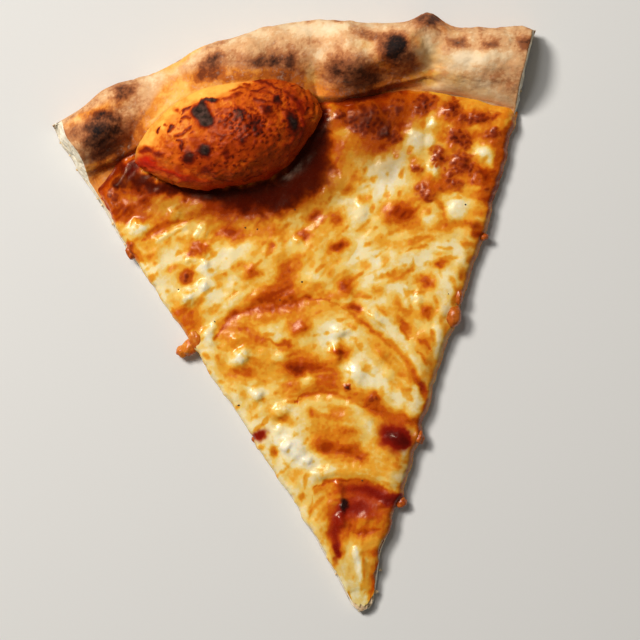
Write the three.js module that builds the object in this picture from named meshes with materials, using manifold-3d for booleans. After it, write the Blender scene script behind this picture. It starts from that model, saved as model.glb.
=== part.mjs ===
// A cheese pizza slice cut from a thin, hand-stretched pie about 450 mm across.
// Three pieces: the dough with its puffed rim and one large blister, the tomato
// sauce spread on it, and the melted cheese that wrinkled as it set.
//
// Units are millimetres, +Z up. While the pieces are worked out, (0, 0) is the
// slice's point and the bisector of the slice runs along +Y to the rim; the
// group is then shifted so that (0, 0, 0) is the middle of the underside.

import * as THREE from "three";
import Module from "manifold-3d";
import { mergeVertices } from "three/addons/utils/BufferGeometryUtils.js";

const wasm = await Module();
wasm.setup();

// ------------------------------------------------------------ named sizes
const HALF_ANGLE = 24.4; // degrees each side of the bisector: a little more than an eighth of the pie
const TIP_R = 6.6; // how far from the point the first row of the slice starts
const DOUGH_T = 3.6; // baked base under the sauce
const SAUCE_T = 0.9;
const CHEESE_T = 2.5;
const GAP = 0.3; // between neighbouring pieces

const RIM_IN = 194; // distance from the point to where the rim starts to rise
const RIM_OUT = 222.8; // and to the outside of the rim
const RIM_SPREAD = 0.16; // the slice is cut a little off centre: mm per degree
const CREST = 0.56; // where the rim is highest, as a share of its width
const EQUATOR = 0.4; // height of the widest line of the rim, share of its crest
const TUCK = 0.15; // share of the rim's width that curls under

// One blister of dough: middle, turn in degrees, half length, half widths towards
// the point and towards the rim, and heights above and below its widest line.
const BLISTER = { x: -25.3, y: 185.9, z: 10.4, turn: 7.2, half: 36.9, near: 19.6, far: 23.1, up: 18.8, down: 8.6 };

const ORIGIN = { x: 2.257, y: 113.06 }; // middle of the bounding box, seen from above

// Gentle swellings of the rim's outer line: degrees, millimetres, degrees.
const OUTER_WAVES = [
  [-24.4, 0.6, 2.0],
  [-18.2, 2.2, 1.9],
  [-12.6, -0.9, 2.2],
  [-7.6, 1.1, 3.0],
  [0.6, 3.2, 6.5],
  [8.6, -0.6, 2.2],
  [14.2, 4.6, 1.5],
  [23.6, 4.6, 3.2],
];
// Crest height along the rim: degrees, millimetres above REST, degrees.
const CREST_REST = 15.2;
const CREST_WAVES = [
  [-20.5, 3.6, 3.4],
  [-5.0, 5.0, 5.6],
  [6.9, 5.6, 2.3],
  [11.6, 7.0, 2.4],
  [20.0, 2.4, 4.0],
];
// Puffed lumps on top of the rim: degrees, share of width, height, degrees wide, share deep.
const LUMPS = [
  [-21.6, 0.42, 1.8, 2.2, 0.25],
  [-17.6, 0.86, 1.6, 1.8, 0.16],
  [6.7, 0.34, 4.0, 2.2, 0.24],
  [11.4, 0.56, 2.2, 1.7, 0.22],
  [14.2, 0.84, 2.6, 1.4, 0.16],
  [15.2, 0.3, -2.2, 1.2, 0.26],
  [3.2, 0.45, -2.4, 1.7, 0.4],
  [-10.2, 0.8, 1.3, 2.0, 0.14],
  [-3.4, 0.7, 1.2, 1.6, 0.2],
  [17.6, 0.62, 1.0, 1.2, 0.2],
  [20.6, 0.5, 1.2, 1.1, 0.2],
];
// Creases across the cheese, each a path through a few points (x, y), with the
// depth of its valley and the height of the lobe on the side of the point.
const CREASES = [
  { path: [[-52, 103], [-40, 113.5], [-24.6, 120.2], [-7, 121.4], [9.7, 117.4], [21.3, 103.5], [36.5, 78]], deep: 1.0, lobe: 1.3, reach: 17 },
  { path: [[-31, 79], [-22.5, 86.5], [-8, 87.2], [6, 82.6], [19, 74.5], [29.5, 66]], deep: 0.7, lobe: 1.0, reach: 12 },
  { path: [[-20, 48], [-8, 54.5], [1.5, 55.4], [11, 52.6], [20, 45.4]], deep: 0.9, lobe: -0.7, reach: 8 },
];

// ------------------------------------------------------------ small helpers
const RAD = Math.PI / 180;
const clamp = (x) => Math.min(1, Math.max(0, x));
const smooth = (a, b, x) => {
  const t = clamp((x - a) / (b - a));
  return t * t * (3 - 2 * t);
};
const bell = (x, middle, width) => Math.exp(-(((x - middle) / width) ** 2));
const mix = (a, b, t) => a + (b - a) * t;
const waves = (list, x) => list.reduce((sum, [at, high, wide]) => sum + high * bell(x, at, wide), 0);

// ------------------------------------------------------------ the slice in plan
// How far each cut strays outwards from a true radius.
const cutLeft = (r) => 1.7 * smooth(105, 150, r) - 0.3 * bell(r, 90, 30) + 2.4 * bell(r, 0, 15);
const cutRight = (r) => 1.3 + 2.6 * bell(r, 160, 42) + 2.4 * bell(r, 2, 14) + 0.5 * bell(r, 118, 7);

// A place on the slice: s from -1 at the left cut to 1 at the right cut, r from the point.
function place(s, r, inset) {
  const out = s < 0 ? cutLeft(r) - inset[0] : cutRight(r) - inset[1];
  const angle = s * (HALF_ANGLE * RAD + out / r);
  const back = TIP_R * (1 - smooth(TIP_R, 34, r)) * Math.max(0, 1 - s * s) ** 0.75;
  return { x: r * Math.sin(angle), y: r * Math.cos(angle) - back };
}

const rimIn = (deg) => RIM_IN + 6.2 * smooth(5, 13, deg) - 1.6 * bell(deg, 7, 3);
const rimOut = (deg) => RIM_OUT + RIM_SPREAD * deg + waves(OUTER_WAVES, deg);
const crest = (deg) => CREST_REST + waves(CREST_WAVES, deg);

// Rise of the rim from its inner foot to its crest: x from 0 to 1.
function rise(x, deg) {
  const soft = 0.62 * (0.5 - 0.5 * Math.cos(Math.PI * x)) + 0.38 * Math.sin((Math.PI * x) / 2);
  const steep = Math.sin((Math.PI * x) / 2) ** 0.62;
  return mix(soft, steep, smooth(13.5, 16.5, deg) * 0.85);
}

// Top and bottom of the dough at a share w of the rim's width (w below 0 is the flat base).
function doughTop(w, deg) {
  const base = DOUGH_T;
  if (w <= 0) return base;
  const high = crest(deg),
    middle = EQUATOR * high;
  const lumps = LUMPS.reduce((sum, [at, share, up, wide, deep]) => sum + up * bell(deg, at, wide) * bell(w, share, deep), 0);
  const fade = smooth(0, 0.12, w) * Math.sqrt(Math.max(0, 1 - smooth(0.86, 1, w)));
  if (w < CREST) return base + (high - base) * rise(w / CREST, deg) + lumps * fade;
  const side = (w - CREST) / (1 - CREST);
  return middle + (high - middle) * Math.sqrt(Math.max(0, 1 - side * side)) + lumps * fade;
}
function doughBottom(w, deg) {
  if (w <= 1 - TUCK) return 0;
  const side = (w - (1 - TUCK)) / TUCK;
  return EQUATOR * crest(deg) * (1 - Math.sqrt(Math.max(0, 1 - side * side)));
}

// The cutter drags the top of each cut inwards, more where the dough is thick.
const doughInset = (w) => [1.0 + 3.0 * smooth(-0.15, 0.35, w), 0.8 + 0.9 * smooth(-0.15, 0.35, w)];

// ------------------------------------------------------------ solids from two sheets
// rows x columns points on a top and a bottom sheet that share their edges' outline.
// joined: the last row of both sheets is one line.
function solidOf(rows, columns, top, bottom, joined) {
  const v = [],
    f = [];
  const add = (p) => v.push(p.x, p.y, p.z) / 3 - 1;
  const sheet = (fn, share) => {
    const ids = [];
    for (let i = 0; i < rows; i++) {
      ids.push([]);
      for (let j = 0; j < columns; j++) ids[i].push(share && i === rows - 1 ? share[i][j] : add(fn(i, j)));
    }
    return ids;
  };
  const up = sheet(top),
    low = sheet(bottom, joined ? up : null);
  const quad = (a, b, c, d) => {
    if (a !== b && b !== c && c !== a) f.push(a, b, c);
    if (a !== c && c !== d && d !== a) f.push(a, c, d);
  };
  for (let i = 0; i + 1 < rows; i++)
    for (let j = 0; j + 1 < columns; j++) {
      quad(up[i][j], up[i][j + 1], up[i + 1][j + 1], up[i + 1][j]);
      quad(low[i][j], low[i + 1][j], low[i + 1][j + 1], low[i][j + 1]);
    }
  const last = columns - 1;
  for (let i = 0; i + 1 < rows; i++) {
    quad(low[i][0], up[i][0], up[i + 1][0], low[i + 1][0]);
    quad(up[i][last], low[i][last], low[i + 1][last], up[i + 1][last]);
  }
  for (let j = 0; j < last; j++) {
    quad(low[0][j], low[0][j + 1], up[0][j + 1], up[0][j]);
    if (!joined) quad(up[rows - 1][j], up[rows - 1][j + 1], low[rows - 1][j + 1], low[rows - 1][j]);
  }
  return manifoldOf(new Float32Array(v), new Uint32Array(f));
}

function manifoldOf(vertProperties, triVerts) {
  return new wasm.Manifold(new wasm.Mesh({ numProp: 3, vertProperties, triVerts }));
}

function manifoldOfGeometry(geometry) {
  const g = geometry.clone();
  g.deleteAttribute("normal");
  g.deleteAttribute("uv");
  const m = mergeVertices(g, 1e-4);
  return manifoldOf(new Float32Array(m.attributes.position.array), new Uint32Array(m.index.array));
}

// Flat stretches need few triangles: what moves no surface by more than FINE goes.
const FINE = 0.02;
const largest = (solid) => solid.decompose().sort((a, b) => b.volume() - a.volume())[0].simplify(FINE);

// ------------------------------------------------------------ dough
const FLAT_ROWS = 9,
  INNER_ROWS = 8,
  OUTER_ROWS = 7,
  DOUGH_COLUMNS = 41;
// The share w of the rim's width for each row, negative on the flat base.
const doughRow = (i) => {
  if (i <= FLAT_ROWS) return i / FLAT_ROWS - 1;
  if (i <= FLAT_ROWS + INNER_ROWS) return (CREST * (i - FLAT_ROWS)) / INNER_ROWS;
  return CREST + (1 - CREST) * Math.sin(((i - FLAT_ROWS - INNER_ROWS) / OUTER_ROWS) * 0.5 * Math.PI);
};
// Distance from the point for a row's w at an angle.
const reachOf = (w, deg) => (w <= 0 ? mix(TIP_R, rimIn(deg), w + 1) : mix(rimIn(deg), rimOut(deg), w));

function doughSheet(height, inset) {
  return (i, j) => {
    const s = (2 * j) / (DOUGH_COLUMNS - 1) - 1,
      w = doughRow(i);
    const deg = s * HALF_ANGLE;
    const p = place(s, reachOf(w, deg), inset(w));
    return { x: p.x, y: p.y, z: height(w, deg) };
  };
}

function baseDough(grow) {
  const rows = FLAT_ROWS + INNER_ROWS + OUTER_ROWS + 1;
  const top = doughSheet(
    (w, deg) => doughTop(w, deg) + grow,
    (w) => doughInset(w).map((x) => x - grow),
  );
  const bottom = doughSheet(
    (w, deg) => (w === 1 ? doughTop(1, deg) + grow : doughBottom(w, deg) - grow),
    () => [-grow, -grow],
  );
  return solidOf(rows, DOUGH_COLUMNS, top, bottom, true);
}

// The blister: a lemon-shaped bubble of dough that lies along the rim, fuller at
// its right end and a little uneven.
function blister(grow) {
  const across = 28,
    along = 18;
  const g = new THREE.SphereGeometry(1, across, along);
  g.rotateZ(Math.PI / 2); // poles on the X axis, the blister's two pointed ends
  const p = g.attributes.position;
  for (let i = 0; i < p.count; i++) {
    const u = THREE.MathUtils.clamp(p.getX(i), -1, 1),
      ring = Math.hypot(p.getY(i), p.getZ(i));
    const pole = Math.abs(u) > 0.99999 || ring < 1e-6;
    const cy = pole ? 0 : p.getY(i) / ring,
      cz = pole ? 0 : p.getZ(i) / ring;
    const open = pole ? 0 : 1 - u * u;
    const farSide = BLISTER.far * open ** mix(0.7, 0.5, smooth(-0.3, 0.4, u));
    const nearSide = BLISTER.near * open ** 0.9;
    const wave = 1 + 0.035 * Math.sin(5 * u + 2 * cy + 1) + 0.03 * Math.sin(3.1 * cz - 4 * u + 2.5 * cy);
    const y = cy > 0 ? farSide : nearSide,
      z = (cz > 0 ? BLISTER.up : BLISTER.down) * open ** 0.62;
    p.setXYZ(i, (pole ? Math.sign(u) : u) * (BLISTER.half + grow), cy * (y * wave + (pole ? 0 : grow)), cz * (z * wave + (pole ? 0 : grow)));
  }
  g.rotateZ(BLISTER.turn * RAD);
  g.translate(BLISTER.x, BLISTER.y, BLISTER.z);
  return manifoldOfGeometry(g);
}

const dough = (grow) => baseDough(grow).simplify(FINE).add(blister(grow));

// ------------------------------------------------------------ layers on the dough
// Signed distance to a crease, positive on the rim's side, and how near its ends.
const creaseLines = CREASES.map((c) => {
  const curve = new THREE.CatmullRomCurve3(c.path.map(([x, y]) => new THREE.Vector3(x, y, 0)));
  return { ...c, points: curve.getPoints(60) };
});
function creaseRelief(x, y) {
  let high = 0;
  for (const c of creaseLines) {
    let best = 1e9,
      k = 0;
    c.points.forEach((p, n) => {
      const d = (p.x - x) ** 2 + (p.y - y) ** 2;
      if (d < best) [best, k] = [d, n];
    });
    const a = c.points[Math.max(0, k - 1)],
      b = c.points[Math.min(60, k + 1)];
    const side = Math.sign((b.x - a.x) * (y - a.y) - (b.y - a.y) * (x - a.x));
    const d = side * Math.sqrt(best);
    high -= c.deep * bell(d, 0, 2.2);
    if (d < 0) high += c.lobe * smooth(0, 3.5, -d) * (1 - smooth(5, c.reach, -d));
    else high += 0.45 * smooth(1, 4, d) * (1 - smooth(4, 11, d));
  }
  return high;
}

// Soft swellings of the melted cheese.
const swell = (x, y) =>
  0.35 * Math.sin(x / 6.1 + 0.7 * Math.sin(y / 9.3)) * Math.cos(y / 7.4 - 0.5 * Math.sin(x / 8.2)) +
  0.25 * Math.sin(x / 15 + y / 21 + 1.1);

const doughTopAt = (s, r) => {
  const deg = s * HALF_ANGLE;
  return doughTop((r - rimIn(deg)) / (rimOut(deg) - rimIn(deg)), deg);
};

// A layer from first to last (distances from the point), a thickness above the dough.
// It starts BURY too low, and what lies under it is cut away from it.
const BURY = 0.16;
function layer(rows, columns, first, last, inset, lift, thickness) {
  const at = (i, j) => {
    const s = (2 * j) / (columns - 1) - 1,
      deg = s * HALF_ANGLE;
    const r = mix(first, last(deg), i / (rows - 1));
    return { s, r, p: place(s, r, inset(r)) };
  };
  return solidOf(
    rows,
    columns,
    (i, j) => {
      const { s, r, p } = at(i, j);
      const edge = Math.min(i, rows - 1 - i, j, columns - 1 - j) === 0 ? 0.55 : 1;
      return { x: p.x, y: p.y, z: doughTopAt(s, r) + lift + Math.max(0.5, thickness(p.x, p.y) * edge) };
    },
    (i, j) => {
      const { s, r, p } = at(i, j);
      return { x: p.x, y: p.y, z: doughTopAt(s, r) + lift - BURY };
    },
    false,
  );
}

const sauceEnd = (deg) => rimIn(deg) - 0.6 + 0.4 * Math.sin(deg / 1.7);
const cheeseEnd = (deg) => rimIn(deg) + 0.9 + 0.6 * Math.sin(deg / 2.3 + 1);
const sauceLayer = (up) =>
  layer(27, 17, TIP_R + 1.2, sauceEnd, (r) => [1.4 + 0.2 * Math.sin(r / 7), 1.2 + 0.2 * Math.sin(r / 8 + 2)], GAP, () => SAUCE_T + up);
const cheeseLayer = () =>
  layer(
    43,
    27,
    TIP_R + 3.4,
    cheeseEnd,
    (r) => [2.2 + 0.4 * Math.sin(r / 6 + 1), 2.0 + 0.4 * Math.sin(r / 7)],
    2 * GAP + SAUCE_T,
    (x, y) => CHEESE_T * mix(0.75, 1, smooth(8, 40, y)) + swell(x, y) + creaseRelief(x, y),
  );

// A run of cheese or sauce over the cut: a stretched ball from one place to another.
function run(from, to, wide, high) {
  const a = new THREE.Vector3(...from),
    b = new THREE.Vector3(...to);
  const g = new THREE.SphereGeometry(1, 12, 9);
  g.rotateZ(Math.PI / 2);
  g.scale(a.distanceTo(b) / 2 + wide * 0.6, wide, high);
  const way = b.clone().sub(a).normalize();
  g.applyQuaternion(new THREE.Quaternion().setFromUnitVectors(new THREE.Vector3(1, 0, 0), way));
  g.translate(...a.add(b).multiplyScalar(0.5).toArray());
  return manifoldOfGeometry(g);
}
const CHEESE_RUNS = [
  [[-46.5, 113.4, 5.4], [-55.0, 107.6, 3.2], 2.3, 1.9],
  [[-65.5, 148.2, 5.6], [-70.2, 147.6, 4.2], 2.6, 2.1],
  [[49.4, 110.2, 5.4], [50.4, 104.2, 4.2], 2.3, 2.0],
];
const SAUCE_RUNS = [
  [[-29.5, 73.5, 4.6], [-33.4, 70.2, 3.2], 2.2, 1.5],
  [[18.6, 46.4, 4.6], [21.4, 43.2, 3.6], 1.8, 1.4],
];
const joinRuns = (solid, runs) => runs.reduce((sum, [from, to, wide, high]) => sum.add(run(from, to, wide, high)), solid);

const doughSolid = dough(0).simplify(FINE);
const doughSpace = dough(GAP);
const sauceSolid = largest(joinRuns(sauceLayer(0), SAUCE_RUNS).subtract(doughSpace));
// The room that the sauce takes, from just under it to a gap above it.
const sauceSpace = sauceLayer(GAP).add(joinRuns(sauceLayer(0), SAUCE_RUNS.map(([a, b, w, h]) => [a, b, w + GAP, h + GAP])));
const cheeseSolid = largest(joinRuns(cheeseLayer(), CHEESE_RUNS).subtract(doughSpace).subtract(sauceSpace));

// ------------------------------------------------------------ the slice
function meshOf(name, solid, material) {
  const m = solid.getMesh(),
    n = m.numProp;
  const position = new Float32Array(m.numVert * 3);
  for (let i = 0; i < m.numVert; i++) position.set(m.vertProperties.subarray(i * n, i * n + 3), i * 3);
  const geometry = new THREE.BufferGeometry();
  geometry.setAttribute("position", new THREE.BufferAttribute(position, 3));
  geometry.setIndex(new THREE.BufferAttribute(new Uint32Array(m.triVerts), 1));
  geometry.computeVertexNormals();
  const mesh = new THREE.Mesh(geometry, material);
  mesh.name = name;
  return mesh;
}

const crust = new THREE.MeshStandardMaterial({ color: 0xd9a56c, roughness: 0.85, metalness: 0 });
const sauce = new THREE.MeshStandardMaterial({ color: 0xa8321a, roughness: 0.35, metalness: 0 });
const mozzarella = new THREE.MeshStandardMaterial({ color: 0xebc877, roughness: 0.38, metalness: 0 });

const slice = new THREE.Group();
slice.name = "pizza_slice";
slice.add(meshOf("dough", doughSolid, crust), meshOf("sauce", sauceSolid, sauce), meshOf("cheese", cheeseSolid, mozzarella));
slice.position.set(-ORIGIN.x, -ORIGIN.y, 0);

export default slice;
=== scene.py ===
"""Looks of the cheese pizza slice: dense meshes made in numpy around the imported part.

Lengths are millimetres in the slice's own plan, with (0, 0) at its point and the
rim towards +Y, until to_metres() moves them into the part's frame. Places of spots
and folds are given in view units (one is 0.382 mm, x to the right, y down), seen
from straight above with the slice turned as it lies in the view.
"""

import math

import bpy
import numpy as np
from mathutils import Matrix, Vector


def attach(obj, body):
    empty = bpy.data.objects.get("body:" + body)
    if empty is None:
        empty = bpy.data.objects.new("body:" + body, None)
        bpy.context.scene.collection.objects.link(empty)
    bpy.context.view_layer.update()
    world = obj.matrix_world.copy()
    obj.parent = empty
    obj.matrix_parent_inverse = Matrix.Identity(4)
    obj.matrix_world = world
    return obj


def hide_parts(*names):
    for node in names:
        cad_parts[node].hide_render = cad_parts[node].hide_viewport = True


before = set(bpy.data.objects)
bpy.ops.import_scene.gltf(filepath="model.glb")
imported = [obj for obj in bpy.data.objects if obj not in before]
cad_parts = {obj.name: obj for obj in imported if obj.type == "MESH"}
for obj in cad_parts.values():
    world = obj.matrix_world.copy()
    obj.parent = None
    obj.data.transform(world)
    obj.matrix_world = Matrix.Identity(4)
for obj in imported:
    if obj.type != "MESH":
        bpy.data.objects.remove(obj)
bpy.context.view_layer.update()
FINE = 1.0  # step of the meshes, as a multiple of the final one

# ------------------------------------------------------------------ sizes of the part
HALF = math.radians(24.4)
TIP_R = 6.6
DOUGH_T = 3.6
SAUCE_T = 0.9
GAP = 0.3
CREST = 0.56
EQUATOR = 0.40
TUCK = 0.15
ORIGIN = (2.257, 113.06)
BLISTER = dict(x=-25.3, y=185.9, z=10.4, turn=7.2, half=36.9, near=19.6, far=23.1, up=18.8, down=8.6)

OUTER_WAVES = [(-24.4, 0.6, 2.0), (-18.2, 2.2, 1.9), (-12.6, -0.9, 2.2), (-7.6, 1.1, 3.0), (0.6, 3.2, 6.5),
               (8.6, -0.6, 2.2), (14.2, 4.6, 1.5), (23.6, 4.6, 3.2)]
CREST_WAVES = [(-20.5, 3.6, 3.4), (-5.0, 5.0, 5.6), (6.9, 5.6, 2.3), (11.6, 7.0, 2.4), (20.0, 2.4, 4.0)]
LUMPS = [(-21.6, 0.42, 1.8, 2.2, 0.25), (-17.6, 0.86, 1.6, 1.8, 0.16), (6.7, 0.34, 4.0, 2.2, 0.24),
         (11.4, 0.56, 2.2, 1.7, 0.22), (14.2, 0.84, 2.6, 1.4, 0.16), (15.2, 0.3, -2.2, 1.2, 0.26),
         (3.2, 0.45, -2.4, 1.7, 0.4), (-10.2, 0.8, 1.3, 2.0, 0.14), (-3.4, 0.7, 1.2, 1.6, 0.2),
         (17.6, 0.62, 1.0, 1.2, 0.2), (20.6, 0.5, 1.2, 1.1, 0.2)]

# How far each cut strays outwards from a true radius: distance from the point, mm.
CUT_LEFT = [(0, 2.0), (8, 1.8), (13, 1.3), (20, 1.1), (28, 0.5), (35, -0.1), (40, 0.7), (46, -0.5), (56, -0.2), (66, -0.1),
            (74, 0.5), (82, -0.5), (93, -0.3), (101, 0.5), (112, 0.3), (126, 0.5), (141, 0.9), (152, 1.4), (161, 1.9),
            (171, 2.2), (181, 1.4), (190, 1.5), (200, 2.2), (206, 1.4), (212, 2.3), (219, 0.8), (232, 0.3)]
CUT_RIGHT = [(0, 2.4), (8, 3.2), (13, 2.2), (19, 1.5), (23, 0.4), (32, 1.7), (40, 0.5), (45, 2.2), (51, 1.4), (58, 2.1),
             (64, 1.5), (70, 2.8), (76, 1.2), (83, 2.3), (90, 1.3), (105, 1.5), (112, 2.4), (119, 2.9), (131, 2.6),
             (144, 3.3), (157, 4.3), (166, 3.5), (176, 4.0), (188, 2.8), (195, 2.9), (204, 2.2), (214, 1.4), (232, 0.6)]


# ------------------------------------------------------------------ arithmetic
def smooth(a, b, x):
    t = np.clip((np.asarray(x, float) - a) / (b - a), 0, 1)
    return t * t * (3 - 2 * t)


def mix(a, b, t):
    return a + (b - a) * t


def bell(x, at, wide):
    return np.exp(-(((x - at) / wide) ** 2))


_r = np.random.RandomState(11)
_perm = np.tile(_r.permutation(256), 3)
_grad = _r.normal(size=(256, 3))
_grad /= np.linalg.norm(_grad, axis=1)[:, None]


def perlin(x, y, z=0.0):
    x, y, z = np.broadcast_arrays(np.asarray(x, float), np.asarray(y, float), np.asarray(z, float))
    xi, yi, zi = np.floor(x).astype(int), np.floor(y).astype(int), np.floor(z).astype(int)
    xf, yf, zf = x - xi, y - yi, z - zi
    xi, yi, zi = xi & 255, yi & 255, zi & 255
    u, v, w = (t * t * t * (t * (t * 6 - 15) + 10) for t in (xf, yf, zf))

    def corner(i, j, k):
        g = _grad[_perm[_perm[_perm[xi + i] + yi + j] + zi + k]]
        return g[..., 0] * (xf - i) + g[..., 1] * (yf - j) + g[..., 2] * (zf - k)

    def lerp(a, b, t):
        return a + (b - a) * t

    return 2.6 * lerp(
        lerp(lerp(corner(0, 0, 0), corner(1, 0, 0), u), lerp(corner(0, 1, 0), corner(1, 1, 0), u), v),
        lerp(lerp(corner(0, 0, 1), corner(1, 0, 1), u), lerp(corner(0, 1, 1), corner(1, 1, 1), u), v), w)


def fbm(x, y, z=0.0, octaves=4, gain=0.5):
    total, size, norm = 0.0, 1.0, 0.0
    for k in range(octaves):
        total = total + size * perlin(x * 2 ** k + 13.1 * k, y * 2 ** k - 7.7 * k, z * 2 ** k + 3.3 * k)
        norm += size * size
        size *= gain
    return total / math.sqrt(norm)


def cells(x, y, seed=0, lot=False):
    """Distance to the nearest and second nearest of scattered points, one per unit square."""
    xi, yi = np.floor(x).astype(int), np.floor(y).astype(int)
    best = np.full(x.shape, 9.0)
    second = np.full(x.shape, 9.0)
    drawn = np.zeros(x.shape)
    for i in (-1, 0, 1):
        for j in (-1, 0, 1):
            a, b = xi + i, yi + j
            h = _perm[_perm[(a + seed) & 255] + (b & 255)]
            px, py = (h * 0.6180339) % 1.0, (h * 0.7548776 + 0.37) % 1.0
            d = np.hypot(a + px - x, b + py - y)
            drawn = np.where(d < best, ((h * 37 + 11) % 256) / 255.0, drawn)
            second = np.minimum(second, np.maximum(best, d))
            best = np.minimum(best, d)
    return (best, second, drawn) if lot else (best, second)


# ------------------------------------------------------------------ the view from above
UNIT = 0.382
TURN = math.radians(7.9)
EYE = 1100.0  # height of the camera
LEVEL = 4.0  # height at which one view unit is exactly UNIT


def plan(px, py):
    a, b = (px - 362.0) * UNIT, (611.0 - py) * UNIT
    return a * math.cos(TURN) + b * math.sin(TURN), -a * math.sin(TURN) + b * math.cos(TURN)


CENTRE = plan(320.0, 320.0)


def seen(x, y, z):
    """View units of a point of the slice, perspective included."""
    k = (EYE - LEVEL) / (EYE - z)
    dx, dy = (x - CENTRE[0]) * k, (y - CENTRE[1]) * k
    a = dx * math.cos(TURN) - dy * math.sin(TURN)
    b = dx * math.sin(TURN) + dy * math.cos(TURN)
    return 320.0 + a / UNIT, 320.0 - b / UNIT


def spots(px, py, table, warp=0.3, wave=7.0, seed=1.0, soft=0.5):
    """Largest of many soft ellipses: (x, y, rx, ry, turn in degrees, strength)."""
    m = np.zeros(px.shape)
    wx, wy = fbm(px / wave, py / wave, seed, 3), fbm(px / wave + 31, py / wave + 17, seed, 3)
    for x, y, rx, ry, turn, amount in table:
        reach = 1.9 * max(rx, ry) + 3
        at = np.nonzero((np.abs(px - x) < reach) & (np.abs(py - y) < reach))[0]
        if not at.size:
            continue
        w = warp * min(rx, ry) + 0.4
        dx, dy = px[at] - x + wx[at] * w, -(py[at] - y) + wy[at] * w
        c, s = math.cos(math.radians(turn)), math.sin(math.radians(turn))
        d = np.hypot((dx * c + dy * s) / rx, (dy * c - dx * s) / ry)
        m[at] = np.maximum(m[at], amount * (1 - smooth(1 - soft, 1 + soft, d)))
    return m


def near_line(px, py, points):
    """Signed distance to a smooth line through points (positive above it in the view) and how far along, 0 to 1."""
    p = np.array(points, float)
    n = len(p)
    t = np.linspace(0, n - 1, 16 * n)
    k = np.clip(np.floor(t).astype(int), 0, n - 2)
    f = (t - k)[:, None]
    a, b, c, d = p[np.clip(k - 1, 0, n - 1)], p[k], p[k + 1], p[np.clip(k + 2, 0, n - 1)]
    q = 0.5 * (2 * b + (c - a) * f + (2 * a - 5 * b + 4 * c - d) * f ** 2 + (3 * b - a - 3 * c + d) * f ** 3)
    best = np.full(px.shape, 1e9)
    arg = np.zeros(px.shape, int)
    for i in range(len(q)):
        e = (px - q[i, 0]) ** 2 + (py - q[i, 1]) ** 2
        hit = e < best
        best = np.where(hit, e, best)
        arg = np.where(hit, i, arg)
    way = np.gradient(q, axis=0)
    side = way[arg, 0] * (py - q[arg, 1]) - way[arg, 1] * (px - q[arg, 0])
    ends = np.where((arg == 0) | (arg == len(q) - 1), 1, 0)
    return -np.sign(side) * np.sqrt(best), arg / (len(q) - 1.0), ends


def wander(px, py, seed, amount=1.0):
    """How far edges wander, view units: a slow bend and a fine fray."""
    wx = 1.7 * fbm(px / 10, py / 10, seed, 2) + 0.6 * fbm(px / 3.6, py / 3.6, seed + 1, 2)
    wy = 1.7 * fbm(px / 10 + 31, py / 10 + 17, seed, 2) + 0.6 * fbm(px / 3.6 + 9, py / 3.6 + 5, seed + 1, 2)
    return amount * wx, amount * wy


def dab(px, py, x, y, rx, ry, turn, power=2.2):
    """Soft cover of one elliptical dab and the vertices it reaches."""
    reach = 2.2 * max(rx, ry) + 2
    at = np.nonzero((np.abs(px - x) < reach) & (np.abs(py - y) < reach))[0]
    dx, dy = px[at] - x, -(py[at] - y)
    c, s = math.cos(math.radians(turn)), math.sin(math.radians(turn))
    d = np.hypot((dx * c + dy * s) / rx, (dy * c - dx * s) / ry)
    return at, np.exp(-0.8 * d ** power)


def paint(tone, px, py, table, power=2.2):
    """Lay dabs over a tone one after another: (x, y, rx, ry, turn, tone, cover)."""
    for x, y, rx, ry, turn, value, cover in table:
        at, g = dab(px, py, x, y, rx, ry, turn, power)
        tone[at] += (value - tone[at]) * cover * g
    return tone


def union(px, py, table, power=2.6):
    """Cover of many soft dabs together: (x, y, rx, ry, turn, strength)."""
    keep = np.ones(px.shape)
    for x, y, rx, ry, turn, amount in table:
        at, g = dab(px, py, x, y, rx, ry, turn, power)
        keep[at] *= 1 - min(1.0, amount) * g
    return 1 - keep


def draw(tone, px, py, table):
    """Lay lines over a tone: (points, half width, tone, cover), thinning towards their ends."""
    for path, wide, value, cover in table:
        q = np.array(path, float)
        reach = 3 * wide + 3
        at = np.nonzero((px > q[:, 0].min() - reach) & (px < q[:, 0].max() + reach) & (py > q[:, 1].min() - reach)
                        & (py < q[:, 1].max() + reach))[0]
        if not at.size:
            continue
        d, t, ends = near_line(px[at], py[at], path)
        thin = np.maximum(0.25, smooth(0, 0.25, t) * smooth(1, 0.75, t))
        g = cover * np.exp(-0.8 * (np.abs(d) / (wide * thin)) ** 2.2)
        tone[at] += (value - tone[at]) * g
    return tone


def strands(px, py, turn, length, wave, seed, n=7):
    """Noise drawn out along a direction that changes from place to place."""
    c, s = np.cos(turn), -np.sin(turn)
    total = 0.0
    for t in np.linspace(-0.5, 0.5, n) * length:
        total = total + perlin((px + t * c) / wave, (py + t * s) / wave, seed)
    return total / n * 2.2


WAYS = [(150, 240, 32), (200, 300, 42), (250, 240, 40), (320, 240, 48), (395, 180, 65), (450, 160, 70), (420, 245, 25),
        (465, 225, -8), (445, 290, -70), (400, 345, -47), (440, 350, -60), (300, 330, 15), (245, 350, -28), (330, 400, 0),
        (285, 440, 45), (398, 420, -50), (345, 478, 4), (352, 560, 84), (130, 210, 50), (300, 500, 60)]


def grain_way(px, py):
    c = np.zeros(px.shape)
    s = np.zeros(px.shape)
    for x, y, deg in WAYS:
        w = 1.0 / (((px - x) ** 2 + (py - y) ** 2) + 300.0) ** 1.5
        c += w * math.cos(2 * math.radians(deg))
        s += w * math.sin(2 * math.radians(deg))
    return 0.5 * np.arctan2(s, c)


# ------------------------------------------------------------------ the slice in plan
def waves(table, deg):
    return sum(high * bell(deg, at, wide) for at, high, wide in table)


def rim_in(deg):
    return 194 + 6.2 * smooth(5, 13, deg) - 1.6 * bell(deg, 7, 3)


def rim_out(deg):
    return 222.8 + 0.16 * deg + waves(OUTER_WAVES, deg)


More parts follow.
